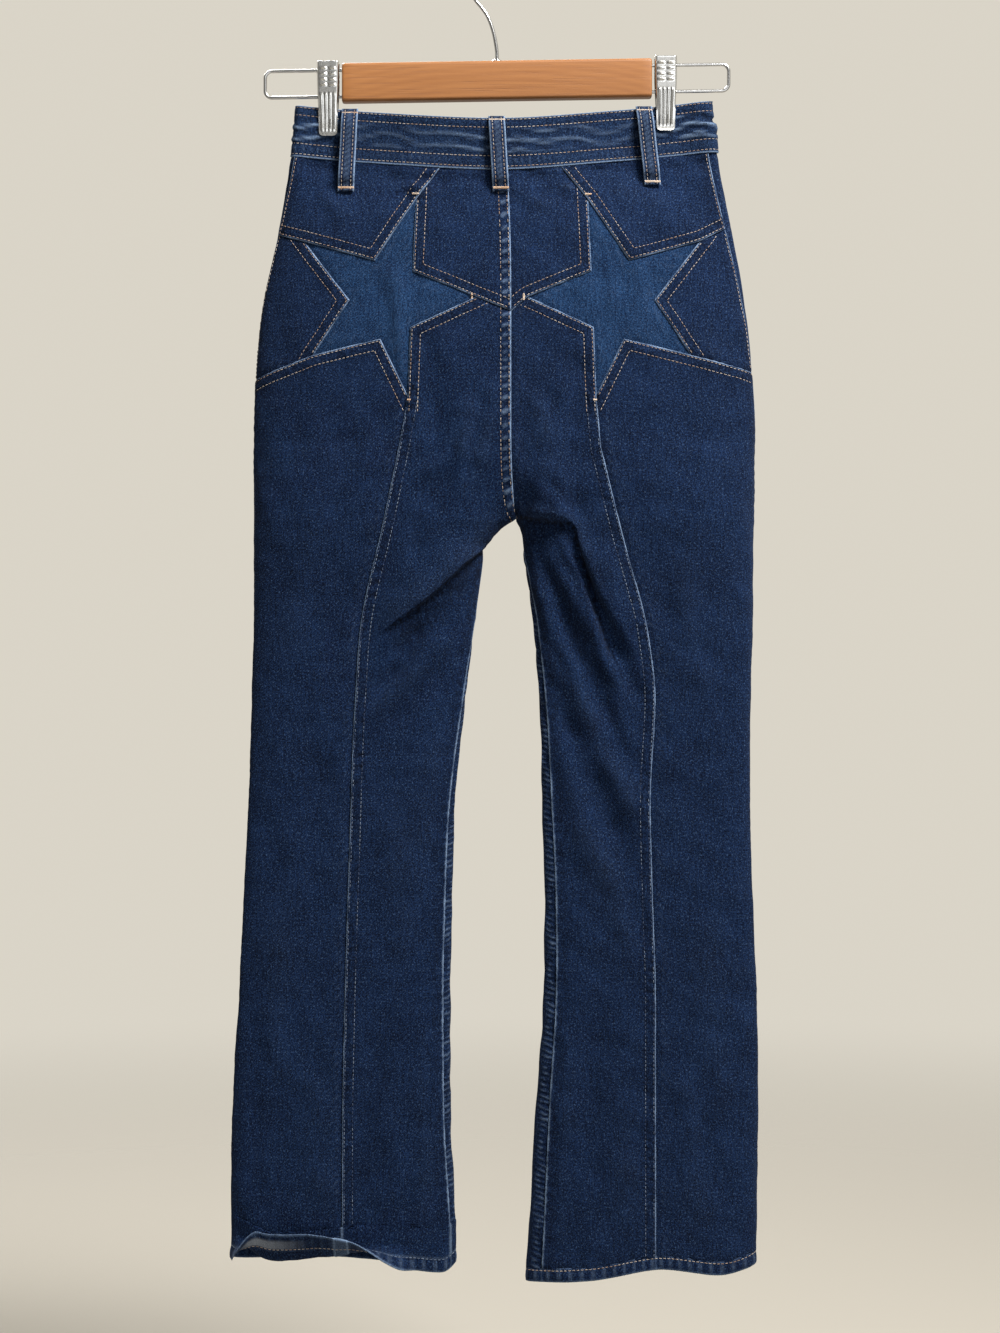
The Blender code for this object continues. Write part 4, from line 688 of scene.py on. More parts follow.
panelDenim, starDenim, bandDenim, loopDenim = (denimMaterial(name) for name in denimLook["tones"])
threads = {  # material, slot
    "tan": (threadMaterial("tanThread", (0.185, 0.130, 0.098), (0.30, 0.27, 0.24)), "thread_tan"),
    "rust": (threadMaterial("rustThread", (0.33, 0.21, 0.13), (0.45, 0.38, 0.31)), "thread_tan"),
    "navy": (threadMaterial("navyThread", (0.012, 0.022, 0.055), (0.12, 0.15, 0.20)), "thread_navy"),
}
print("materials ready")


stitch = {"pitch": 3.55, "share": 0.86, "thread": 0.28, "rise": 0.16, "sink": 0.42}
threadRows = {thread: [] for thread in threads}


def sewRow(places, lifts, outward, thread, share=stitch["share"], girth=1.0):
    # one stitch for each pair of neighbouring places: a thread that comes up, runs along the cloth and goes down
    places, outward = np.asarray(places), np.asarray(outward)
    run = np.diff(places, axis=0)
    size = np.linalg.norm(run, axis=1, keepdims=True)
    run = run / np.maximum(size, 1e-9)
    up = outward[:-1] + outward[1:]
    up = up - run * np.sum(up * run, axis=1, keepdims=True)
    up = up / np.linalg.norm(up, axis=1, keepdims=True)
    middle = (places[:-1] + places[1:]) / 2 + up * np.reshape(lifts, (-1, 1))
    along = size / 2 * share * (-1.0, -0.62, 0.0, 0.62, 1.0)
    rise = np.array((-stitch["sink"], stitch["rise"] * 0.7, stitch["rise"], stitch["rise"] * 0.7, -stitch["sink"]))
    radius = stitch["thread"] * girth * np.array((1.0, 1.06, 1.0))
    turn = circleTurns(6)[:, None]
    spine = middle[:, None] + run[:, None] * along[..., None] + up[:, None] * rise[:, None]
    ring = np.cos(turn) * np.cross(run, up)[:, None, None] + np.sin(turn) * up[:, None, None]
    body = spine[:, 1:4, None] + ring * radius[:, None, None]
    threadRows[thread].append(np.concatenate([spine[:, :1], body.reshape(-1, 18, 3), spine[:, 4:]], axis=1))


def sewEvenly(line, outward, thread):  # even stitches along a line in space
    lengths = distances(line)
    at = np.linspace(0, lengths[-1], round(lengths[-1] / stitch["pitch"]) + 1)
    even, up = (stacked(*(np.interp(at, lengths, row) for row in np.transpose(values)))
                for values in (line, outward))
    sewRow(even, np.zeros(len(even) - 1), up, thread)


def threadFaces(count):
    around = np.arange(6)
    after = (around + 1) % 6
    first, last = stacked(0, 1 + after, 1 + around), stacked(13 + around, 13 + after, 19)
    bands = [stacked(base + around, base + after, base + 6 + after, base + 6 + around) for base in (1, 7)]
    base = np.arange(count)[:, None, None] * 20
    triangles, quads = (np.concatenate(faces)[None] + base for faces in ((first, last), bands))
    return triangles.reshape(-1, 3).tolist() + quads.reshape(-1, 4).tolist()


def runsBetweenCorners(line, sharpest=20):  # the line split at its sharp corners
    run = np.diff(line, axis=0)
    heading = np.degrees(np.arctan2(run[:, 1], run[:, 0]))
    turning = np.abs((np.diff(heading) + 180) % 360 - 180)
    splits = np.append(0, np.append(np.nonzero(turning > sharpest)[0] + 1, len(line) - 1))
    return [line[a:b + 1] for a, b in zip(splits[:-1], splits[1:])]


def lengthened(line, extra):  # both ends carried straight on
    line = np.array(line, dtype=float)
    first, last = line[0] - line[1], line[-1] - line[-2]
    line[0] += first * extra / np.hypot(*first)
    line[-1] += last * extra / np.hypot(*last)
    return line


def sewAlong(panel, line, offset, thread, base=0.0):
    # stitches beside a line of the chart, where they lie inside the panel and clear of its edge
    clear = min(1.2, offset * 0.7)
    for run in runsBetweenCorners(shiftLine(line, offset * panel.turn)):
        lengths = distances(run)
        at = np.linspace(0, lengths[-1], max(2, round(lengths[-1] / stitch["pitch"])) + 1)
        flat = stacked(np.interp(at, lengths, run[:, 0]), np.interp(at, lengths, run[:, 1]))
        middles = (flat[:-1] + flat[1:]) / 2
        inside = within(panel.outline, flat)
        kept = np.nonzero(inside[:-1] & inside[1:] & (nearest(panel.outline, middles, True)[0] > clear))[0]
        places, outward = panel.leg.offChart(flat)
        lifts = panel.relief(middles, base)[0]
        for group in np.split(kept, np.nonzero(np.diff(kept) > 1)[0] + 1):
            if len(group):
                span = slice(group[0], group[-1] + 2)
                sewRow(places[span], lifts[group], outward[span], thread)


def seamRelief(profile, distance, along, seed, pucker):
    # a folded edge: its profile by distance, and puckers that lean along it between the rows of stitches
    far = {"twin": 10.5, "single": 7.0, "plain": 9.0}[profile]
    window = ease(distance / 1.2) * (1 - ease((distance - far + 3) / 3.5))
    phase = along / 8.6 + 0.035 * distance
    phase = phase + 0.55 * np.sin(along / 31 + seed) + 0.3 * np.sin(along / 12.7 + 2 * seed)
    if pucker < 0.4:
        strength = 0.65 + 0.35 * np.sin(along / 23 + 3 * seed)
    else:
        strength = 0.8 + 0.3 * np.sin(along / 19 + 3 * seed) * np.sin(along / 7.3 + seed)
    wave = np.sin(2 * math.pi * phase) * strength * window
    # the second value tints the cloth: paler on the puckers' crests, darkened with painted shade in their troughs
    worn = min(pucker / 0.22, 0.55 + 0.6 * pucker / 0.22)
    return curveThrough(edgeProfiles[profile], distance) + pucker * wave, wave * worn


class Panel:
    # a piece of cloth cut along seams: points on a grid inside its outline, laid on the leg's surface.
    # Each run of its outline lies over its neighbour, folded and stitched, or is tucked under it
    made = []

    def __init__(self, name, leg, runs, material, slot, base=0.0, coarse=1.0):
        self.leg = leg
        self.runs = [(*run, 0.20)[:3] for run in runs]
        corners, shifts = [], []
        for line, kind, _ in self.runs:
            line = line[np.append(np.hypot(*np.diff(line, axis=0).T) > 0.4, True)]
            corners.append(line[:-1])
            shifts += [cloth["reach"] if kind in ("under", "band") else 0.0] * (len(line) - 1)
        self.outline = np.concatenate(corners)
        area = signedArea(self.outline)
        self.turn = np.sign(area)
        outer = shiftLine(self.outline, -np.array(shifts) * self.turn, True)
        edge = cutUp(outer, cloth["grain"] * (1 if coarse == 1 else 1.5), True)
        flat = np.concatenate([edge, self.fill(edge, outer, coarse)])
        vertices, _, faces = delaunay_2d_cdt([Vector(p) for p in flat.tolist()], [],
                                             [list(range(len(edge)))], 1, 1e-6)[:3]
        flat = np.array([(v.x, v.y) for v in vertices])
        triangles = np.array([face[:3] for face in faces])
        sides = flat[triangles]
        turning = np.cross(sides[:, 1] - sides[:, 0], sides[:, 2] - sides[:, 0])
        wrong = turning * leg.side < 0
        triangles[wrong] = triangles[wrong][:, ::-1]
        lift, wearAndShade, rungs = self.relief(flat, base)
        place, out = leg.offChart(flat)
        depth = lift - cloth["thickness"] - np.clip(lift - base, 0, 1) * 0.6
        skin, lining = ((place + out * rise[:, None]) * mm for rise in (lift, depth))
        points, faces = closedShell(skin, lining, triangles)
        layers = {"wearAndShade": np.append(wearAndShade, wearAndShade * 0), "rungs": np.append(rungs, rungs * 0),
                  "backing": np.repeat((0, 1), len(flat))}
        piece = addPiece(f"{name}_cloth", points, faces, material, np.tile(flat * mm, (2, 1)),
                         layers, [name], 58)
        width, length = (float(v) * mm for v in np.ptp(self.outline, axis=0))
        cut = abs(area) * mm * mm
        Panel.made.append((f"{name}_cloth", width, length, cut))

    def fill(self, edge, outer, coarse):
        (left0, foot), (right0, head) = outer.min(axis=0), outer.max(axis=0)
        down = np.arange(foot, head, cloth["gridDown"] * coarse)
        across = np.arange(left0, right0, cloth["gridAcross"] * coarse)
        grid = stacked(across, down[:, None]).reshape(-1, 2)
        fold = self.leg.toFlat(np.ones(len(down)), down)
        bent = stacked(fold[:, None] + np.linspace(-11, 11, 15), down[:, None]).reshape(-1, 2)
        clear = np.abs(grid[:, 0] - self.leg.toFlat(np.ones(len(grid)), grid[:, 1])) > 12
        grid = np.concatenate([grid[clear], bent])
        rings, overs = [], [line for line, kind, _ in self.runs if kind in edgeProfiles]
        if coarse == 1:
            for sheet, x0, z0, x1, z1, *_ in form["mainFolds"]:
                if sheet == "back" and (x0 + x1 > 24) == (self.leg.side == right):
                    grid = self.along(grid, *self.leg.flatPoint([x0, x1], [z0, z1]))
        inset = self.leg.flatPoint(*np.array(overhangs[self.leg.side][0], dtype=float).T)
        if coarse == 1 and within(edge, inset[2:4]).any():
            grid = grid[nearest(inset, grid)[0] > 6.2]
            grid = np.concatenate([grid] + [cutUp(shiftLine(inset, offset), 2.6)
                                            for offset in (-5.2, -3.9, -2.9, -2.0, -1.2, -0.5, 0.3, 1.4, 2.8, 4.6)])
        grid = grid[within(edge, grid)]
        keep = nearest(outer, grid, True)[0] > cloth["grain"] * 0.62
        for line in overs:
            keep &= nearest(line, grid)[0] > 10.6
        for line in overs:
            for offset in (0.45, 1.1, 1.8, 2.7, 4.4, 6.4, 8.0, 8.9, 9.9):
                ring = cutUp(shiftLine(line, offset * self.turn), cloth["grain"])
                ring = ring[within(edge, ring)]
                near = np.min([nearest(other, ring)[0] for other in overs], axis=0)
                clear = nearest(outer, ring, True)[0] > min(0.4, offset * 0.8)
                rings.append(ring[(near > offset - 0.12) & clear])
        return np.concatenate([grid[keep]] + rings)

    def along(self, grid, start, end):  # a close grid laid along a fold takes the place of the open one
        run = end - start
        length = np.hypot(*run)
        run, across = run / length, np.array((-run[1], run[0])) / length
        shares, offsets = np.arange(-6, length + 6, 3.2), np.arange(-15, 15.1, 1.9)
        close = (start + shares[:, None, None] * run + offsets[None, :, None] * across).reshape(-1, 2)
        beside, along = (grid - start) @ across, (grid - start) @ run
        return np.concatenate([grid[(np.abs(beside) > 16.5) | (along < -8) | (along > length + 8)], close])

    def relief(self, flat, base):
        lift, crest = clothRelief(self.leg, flat)
        # crests a touch paler as worn; hollows and the ground below an overhang darkened ten times as strongly, as
        # painted shade
        wearAndShade = np.where(crest > 0, 0.012, 0.12) * np.clip(crest, -6, 1.5)
        lift, rungs = lift + base, 0 * lift
        seed = len(Panel.made) * 1.7
        for place, (line, kind, pucker) in enumerate(self.runs):
            distance, along = nearest(line, flat)
            if kind in edgeProfiles:
                ridge, wave = seamRelief(kind, distance, along, seed + place, pucker)
                lift = lift * ease(distance / 7 + 0.35) + ridge
                # a pale worn ridge along the folded edge; the puckers paler on their crests and darkened with
                # painted shade in their troughs
                patchy = 0.75 + 0.25 * np.sin(along / 5.3 + seed) * np.sin(along / 17 + 2 * seed)
                wearAndShade = wearAndShade + 1.5 * patchy * bell(distance, 1.7 if kind == "plain" else 1.2) + 0.2 * wave
                # painted shade along each row of stitches, where the thread draws the cloth into a groove
                for offset in rowOffsets[kind]:
                    wearAndShade = wearAndShade - 0.38 * bell(distance - offset, 0.8)
                # darker over the strip beside the edge
                wearAndShade = wearAndShade - (0.02 if pucker > 0.4 else 0.26) * (1 - ease((distance - 8.5) / 3))
            elif kind != "hem":
                outside = np.where(within(self.outline, flat), distance, -distance)
                tucked = 1 - ease((outside + 0.4) / 4.6)
                lift = lift * (1 - 0.8 * tucked) - (cloth["tuck"] if kind == "under" else 0.5) * tucked
            if kind == "under":
                pucker = pucker if pucker < 0.5 else 0.15
                # a mask for the ladder of puckers beside the inseams, which the cloth's material paints in light
                # and dark bands
                if pucker > 0.4:
                    rungs = rungs + ease(distance / 1.5) * (1 - ease((distance - 7) / 3))
                wave = np.sin(2 * math.pi * (along / 8.2 + 0.11 * distance + 0.5 * np.sin(along / 29 + seed)))
                wave = wave * pucker * bell(distance, 7.5)
                # painted shade right at the seam, where this panel goes under its neighbour's folded edge
                lift, wearAndShade = lift + 0.8 * wave, wearAndShade + 0.5 * wave - 0.30 * bell(distance, 1.6)
        return lift, wearAndShade, rungs


def stepsBetween(start, end, step=9.0):
    return np.linspace(start, end, max(2, math.ceil(abs(end - start) / step) + 1))


class Pattern:
    # the seams of one half, as lines in the flat chart that neighbouring panels share
    def __init__(self, leg):
        self.leg, side, height = leg, leg.side, seams["bandHeight"]
        x, z = seams["starMiddle"][side]
        self.corners = {name: leg.flatPoint(x - side * reach * math.cos(math.radians(angle)),
                                            z + reach * math.sin(math.radians(angle)))
                        for name, angle, reach in seams["star"]}
        self.rise = seams["curlDepth"] if side == left else seams["hemDepth"]
        x = seams["waistEnd"][side]
        self.waistJoin = leg.flatPoint(x, leg.waistAt(leg.shareAt(np.array([x]), np.array([-175.0])), height)[0])
        self.sideTop, self.sideLow = (self.onSide(seams[key][side]) for key in ("sideTop", "sideLow"))
        self.centreJoin = leg.onChart(0.0, seams["centreJoin"])
        z = np.array([-170.0])
        for _ in range(8):
            z = leg.waistAt(leg.sideShare(z), height)
        self.sideWaist, self.bandEnd = float(z[0]), float(leg.sideShare(z)[0])
        self.centreWaist, self.centreWaistFront = leg.waistAt(np.array([0.0, 2.0]), height).tolist()

    def onSide(self, z):
        return self.leg.onChart(self.leg.sideShare(z), z)

    def starRun(self, first, last):
        names = list(self.corners)
        start, end = names.index(first), names.index(last)
        end += len(names) if end <= start else 0
        return np.array([self.corners[names[place % len(names)]] for place in range(start, end + 1)])

    def foot(self, shareOf):  # where a seam reaches the hem's top line
        z = np.array([-1095.0])
        for _ in range(8):
            z = self.leg.hemAt(shareOf(z), self.rise)
        return float(shareOf(z)[0]), float(z[0])

    def sideLine(self, start, end):
        return self.onSide(stepsBetween(start, end))

    def centreLine(self, start, end, share=0.0):
        return self.leg.onChart(share, stepsBetween(start, end, 6.0))

    def legSeam(self, end):
        z = stepsBetween(seams["legSeams"][self.leg.side][0][0], end)
        return np.concatenate([[self.corners["tipLow"]], self.leg.onChart(self.leg.legSeamShare(z), z)])

    def inseam(self, end, turn=0.0):
        z = stepsBetween(form["crotch"], end)
        return self.leg.onChart(self.leg.inseamShare(z) + turn, z)

    def hemLine(self, start, end):
        shares = np.linspace(start, end, max(3, round(abs(end - start) * 32)))
        return self.leg.onChart(shares, self.leg.hemAt(shares, self.rise))

    def waistLine(self, start, end):
        shares = np.linspace(start, end, max(3, round(abs(end - start) * 40)))
        return self.leg.onChart(shares, self.leg.waistAt(shares, seams["bandHeight"]))


def joined(*lines):
    return np.concatenate([lines[0]] + [line[1:] for line in lines[1:]])


patterns = {side: Pattern(leg) for side, leg in legs.items()}
starBars = (  # corner, how far past it, the way along the bar, panel that carries it
    ("tipTop", (0, 4.5), (1, 0), "back_upper_side"), ("tipCentre", (3.5, 0), (0, 1), "back_upper_centre"),
    ("tipLow", (0, -4), (1, 0), "back_leg_inner"))
for side, pattern in patterns.items():
    leg, word, corners = legs[side], sideNames[side], pattern.corners
    sideFoot, sideHem = pattern.foot(leg.sideShare)
    inseamFoot, inseamHem = pattern.foot(leg.inseamShare)
    seamFoot, seamHem = pattern.foot(leg.legSeamShare)
    joinShare = float(leg.toShare(*pattern.waistJoin[:, None])[0])
    waistRay, centreRay, topRay, lowRay = (np.array([corners[corner], end]) for corner, end in (
        ("tipTop", pattern.waistJoin), ("tipCentre", pattern.centreJoin),
        ("tipSideTop", pattern.sideTop), ("tipSideLow", pattern.sideLow)))
    sideUpper = pattern.sideLine(pattern.sideWaist, seams["sideTop"][side])
    sideGore = pattern.sideLine(seams["sideTop"][side], seams["sideLow"][side])
    sideLeg = pattern.sideLine(seams["sideLow"][side], sideHem)
    legSeam, inseam = pattern.legSeam(seamHem), pattern.inseam(inseamHem)
    centreKind, frontKind = ("twin", "under") if side == left else ("under", "twin")
    centreLow = pattern.centreLine(seams["centreJoin"], form["crotch"])
    centreHigh = pattern.centreLine(pattern.centreWaist, seams["centreJoin"])
    centreFront = pattern.centreLine(pattern.centreWaistFront, form["crotch"], 2.0)
    shapes = {  # each run of a panel's outline: line, kind, strength of its puckers
        "star": [(pattern.starRun("tipTop", "tipTop"), "under")],
        "back_side_gore": [
            (pattern.starRun("tipSideLow", "tipSideTop")[::-1], "twin"), (lowRay, "under"),
            (sideGore[::-1], "single"), (topRay[::-1], "under")],
        "back_leg_inner": [
            (pattern.starRun("tipCentre", "tipLow"), "twin"), (legSeam, "twin", 0.36),
            (pattern.hemLine(seamFoot, inseamFoot), "hem"), (inseam[::-1], "plain", 0.2),
            (centreLow[::-1], centreKind, 0.6), (centreRay[::-1], "under")],
        "back_leg_outer": [
            (joined(pattern.starRun("tipLow", "tipSideLow"), lowRay), "twin"), (sideLeg, "plain"),
            (pattern.hemLine(sideFoot, seamFoot), "hem"), (legSeam[::-1], "under")],
        "back_upper_centre": [
            (joined(pattern.starRun("tipTop", "tipCentre"), centreRay), "twin"),
            (centreHigh[::-1], centreKind, 0.6),
            (pattern.waistLine(0.0, joinShare), "band"), (waistRay[::-1], "under")],
        "back_upper_side": [
            (joined(topRay[::-1], pattern.starRun("tipSideTop", "tipTop"), waistRay), "twin"),
            (pattern.waistLine(joinShare, pattern.bandEnd), "band"), (sideUpper, "single")],
        "front_leg": [
            (sideUpper, "under"), (sideGore, "under"), (sideLeg, "under"),
            (pattern.hemLine(sideFoot, 2 + inseamFoot), "hem"),
            (pattern.inseam(inseamHem, 2.0)[::-1], "under", 0.42),
            (centreFront[::-1], frontKind), (pattern.waistLine(2.0, pattern.bandEnd), "band")],
    }
    panels = {}
    for key, runs in shapes.items():
        finish, slot, base = (starDenim, "star_denim", -0.35) if key == "star" else (panelDenim, "denim", 0.0)
        panels[key] = Panel(f"{key}_{word}", leg, runs, finish, slot, base,
                            cloth["frontGrid"] if key == "front_leg" else 1.0)
    for key, runs in shapes.items():           # rows of stitches along each panel's folded edges
        for line, kind, *_ in runs:
            extra, thread = (0, "navy") if line is legSeam else (14, "tan")
            for offset in rowOffsets.get(kind, ()):
                sewAlong(panels[key], lengthened(line, extra), offset, thread)
    for corner, past, run, host in starBars:   # close stitches where the star's points meet the seams
        along, away = np.linspace(-2.8, 2.8, 12)[:, None], np.tile((-0.9, 0.9), 6)[:, None]
        ends = corners[corner] + np.array(past) * (-side, 1) + along * run + away * (-run[1], run[0])
        places, outward = leg.offChart(ends)
        sewRow(places, panels[host].relief(ends, 0.0)[0][1:] + 0.25, outward, "rust", share=1.1, girth=1.1)
    print("panels of the", word, "leg")


band = {
    "height": seams["bandHeight"], "lift": 0.6, "thickness": 2.3, "columnStep": 2.6,
    "rows": (1.7, 8.2, 32.3, 41.2),            # stitches, below the top edge
    "rippleZone": (9.5, 31.5), "ripple": 1.05,
    "notch": {"x": 183.0, "below": 15.5, "depth": 2.6, "length": 17.0, "width": 2.7, "step": 1.5},
    "drops": (44, 43.6, 42.7, 41.2, 39.6, 37, 35, 33.4, 32.3, 31.2, 29, 27, 25, 23, 21, 19, 17, 15, 13, 11,
              9.4, 8.2, 7.1, 5, 3.2, 1.7, 0.9),
}


def bandRelief(x, drop, before):
    # ripples that lie along the band between its inner rows, paler on their crests and darkened with painted shade
    # in their troughs; grooves at the rows, darkened with painted shade; a worn ridge at each edge
    low, high = band["rippleZone"]
    zone = ease((drop - low + 3) / 6) * (1 - ease((drop - high + 3) / 6))
    seed = 2.1 if before else 0.0
    first = np.sin(drop * 0.62 + 2.2 * np.sin(x / 21 + seed) + 1.5 * np.sin(x / 8.3 + 2 * seed))
    second = np.sin(drop * 1.15 - x * 0.07 + 1.8 * np.sin(x / 13 + 4 + seed) + 0.8 * np.sin(x / 4.9))
    pull = bell(x - 172, 26) + 0.7 * bell(x + 150, 20)
    strength = 0.30 + 0.45 * (0.5 + 0.5 * np.sin(x / 31 + 1.2 + seed)) + 0.5 * pull
    ripple = zone * strength * (0.65 * first + 0.45 * second)
    lift, wearAndShade = band["ripple"] * ripple, 0.72 * np.clip(ripple, 0, 1) ** 1.5 + 0.5 * np.clip(ripple, -1, 0)
    for row in band["rows"]:
        groove = bell(drop - row, 1.1)
        lift, wearAndShade = lift - 0.34 * groove, wearAndShade - 0.42 * groove
    lift = lift + 0.12 * np.sin(2 * math.pi * x / 9.3 + 2 * np.sin(x / 27)) * bell(drop - 5, 3.2)
    # small tufts above the lowest row, their crests paler and their hollows darkened with painted shade
    tuft = np.sin(2 * math.pi * (x / 5.6 + 0.4 * np.sin(x / 19 + seed) + 0.2 * np.sin(x / 7.7)))
    tuft = tuft * (0.6 + 0.4 * np.sin(x / 15 + seed)) * bell(drop - 36.8, 3.4, 4)
    lift, wearAndShade = lift + 0.2 * tuft, wearAndShade + 0.13 * tuft + 0.03 * zone
    for edge, span in ((0.0, 1.2), (band["height"], 1.3)):
        wearAndShade = wearAndShade + 0.85 * bell(drop - edge, span)
    # a crease pressed in at the right end, the cloth above it drawn in and below it let out, with painted shade in
    # the crease
    notch = band["notch"]
    run = ease((x - notch["x"] + notch["length"]) / notch["length"])
    below = drop - notch["below"] - (x - notch["x"]) * 0.12
    dent = run * bell(below, notch["width"])
    spread = run * notch["step"] * np.tanh(below / 5) * (1 - 0.4 * np.clip(below / 20, 0, 1))
    return lift - notch["depth"] * dent + spread, wearAndShade - 0.5 * dent


def bandColumn(leg, share, drops):
    # a section across the band: points outside and inside, wear and painted shade, and the way out
    shares = np.full_like(drops, share)
    tops, feet = leg.waistAt(shares), leg.waistAt(shares, band["height"])
    heights = tops + (feet - tops) * drops / band["height"]
    relief, wearAndShade = bandRelief(leg.point(shares, heights)[:, 0], drops, share > 1)
    full = np.minimum(*(np.sqrt(np.clip(1 - (1 - np.minimum(near, round) / round) ** 2, 0, 1))
                        for near, round in ((drops, 0.9), (band["height"] - drops, 0.7))))
    half = band["thickness"] / 2
    out = band["lift"] - half + half * full + relief * full
    inside = band["lift"] - half - half * full + 0.5 * relief
    return leg.point(shares, heights, out), leg.point(shares, heights, inside), wearAndShade, leg.normal(shares, heights)


def makeBand(name, columns, outward):
    # each section goes up the outside, over the rolled top and down the inside
    drops = np.array(band["drops"] + (0.35, 0.0), dtype=float)
    outer, inner, wearAndShade, _ = (np.array(part) for part in zip(*(bandColumn(*column, drops) for column in columns)))
    along = distances(outer[:, 10])
    points, faces = ringSolid(np.concatenate([outer, inner[:, -2::-1]], axis=1) * mm, flip=outward)
    uv = stacked(along[:, None], -np.append(drops, drops[-2::-1])) * mm
    layers = {"wearAndShade": np.concatenate([wearAndShade, 0 * wearAndShade[:, 1:]], axis=1).ravel(), "backing": np.zeros(len(points))}
    piece = addPiece(f"{name}_cloth", points, faces, bandDenim, uv.reshape(-1, 2), layers, [name], 62)
    print("waistband:", name, len(faces))


def bandColumns(side, low, high):
    count = max(3, round(abs(high - low) * 200 / band["columnStep"]))
    return [(legs[side], share) for share in np.linspace(low, high, count)]


bandEnd = {side: pattern.bandEnd for side, pattern in patterns.items()}
backColumns = bandColumns(left, bandEnd[left], 0.0) + bandColumns(right, 0.0, bandEnd[right])[1:]
makeBand("waistband_back", backColumns, True)
for side in legs:
    makeBand(f"waistband_front_{sideNames[side]}", bandColumns(side, bandEnd[side] + 0.001, 1.999), side == right)
for columns in (backColumns, bandColumns(left, bandEnd[left], 2.0), bandColumns(right, bandEnd[right], 2.0)):
    for row in band["rows"]:
        places, _, _, ups = zip(*(bandColumn(*column, np.array([row])) for column in columns))
        sewEvenly(np.concatenate(places), np.concatenate(ups), "tan")

hemCurl = {
    "turns": (  # share of the back sheet, turn in degrees
        (0.00, 0), (0.18, 0), (0.30, 60), (0.42, 112), (0.56, 140), (0.84, 152), (0.92, 80), (0.96, 20), (1.00, 0)),
    "bend": (0.34, 0.52), "thickness": 1.7, "row": 10.4, "columnStep": 2.6, "stretch": 0.44,
    "wrongSide": (0.62, 0.87), "roll": 4.4, "tabHalf": 5.6, "tabLift": 0.7,
    "half": 195.0,                             # half of the way round the hem
    "above": (-1.3, -0.25),                    # hidden inside the panels
}


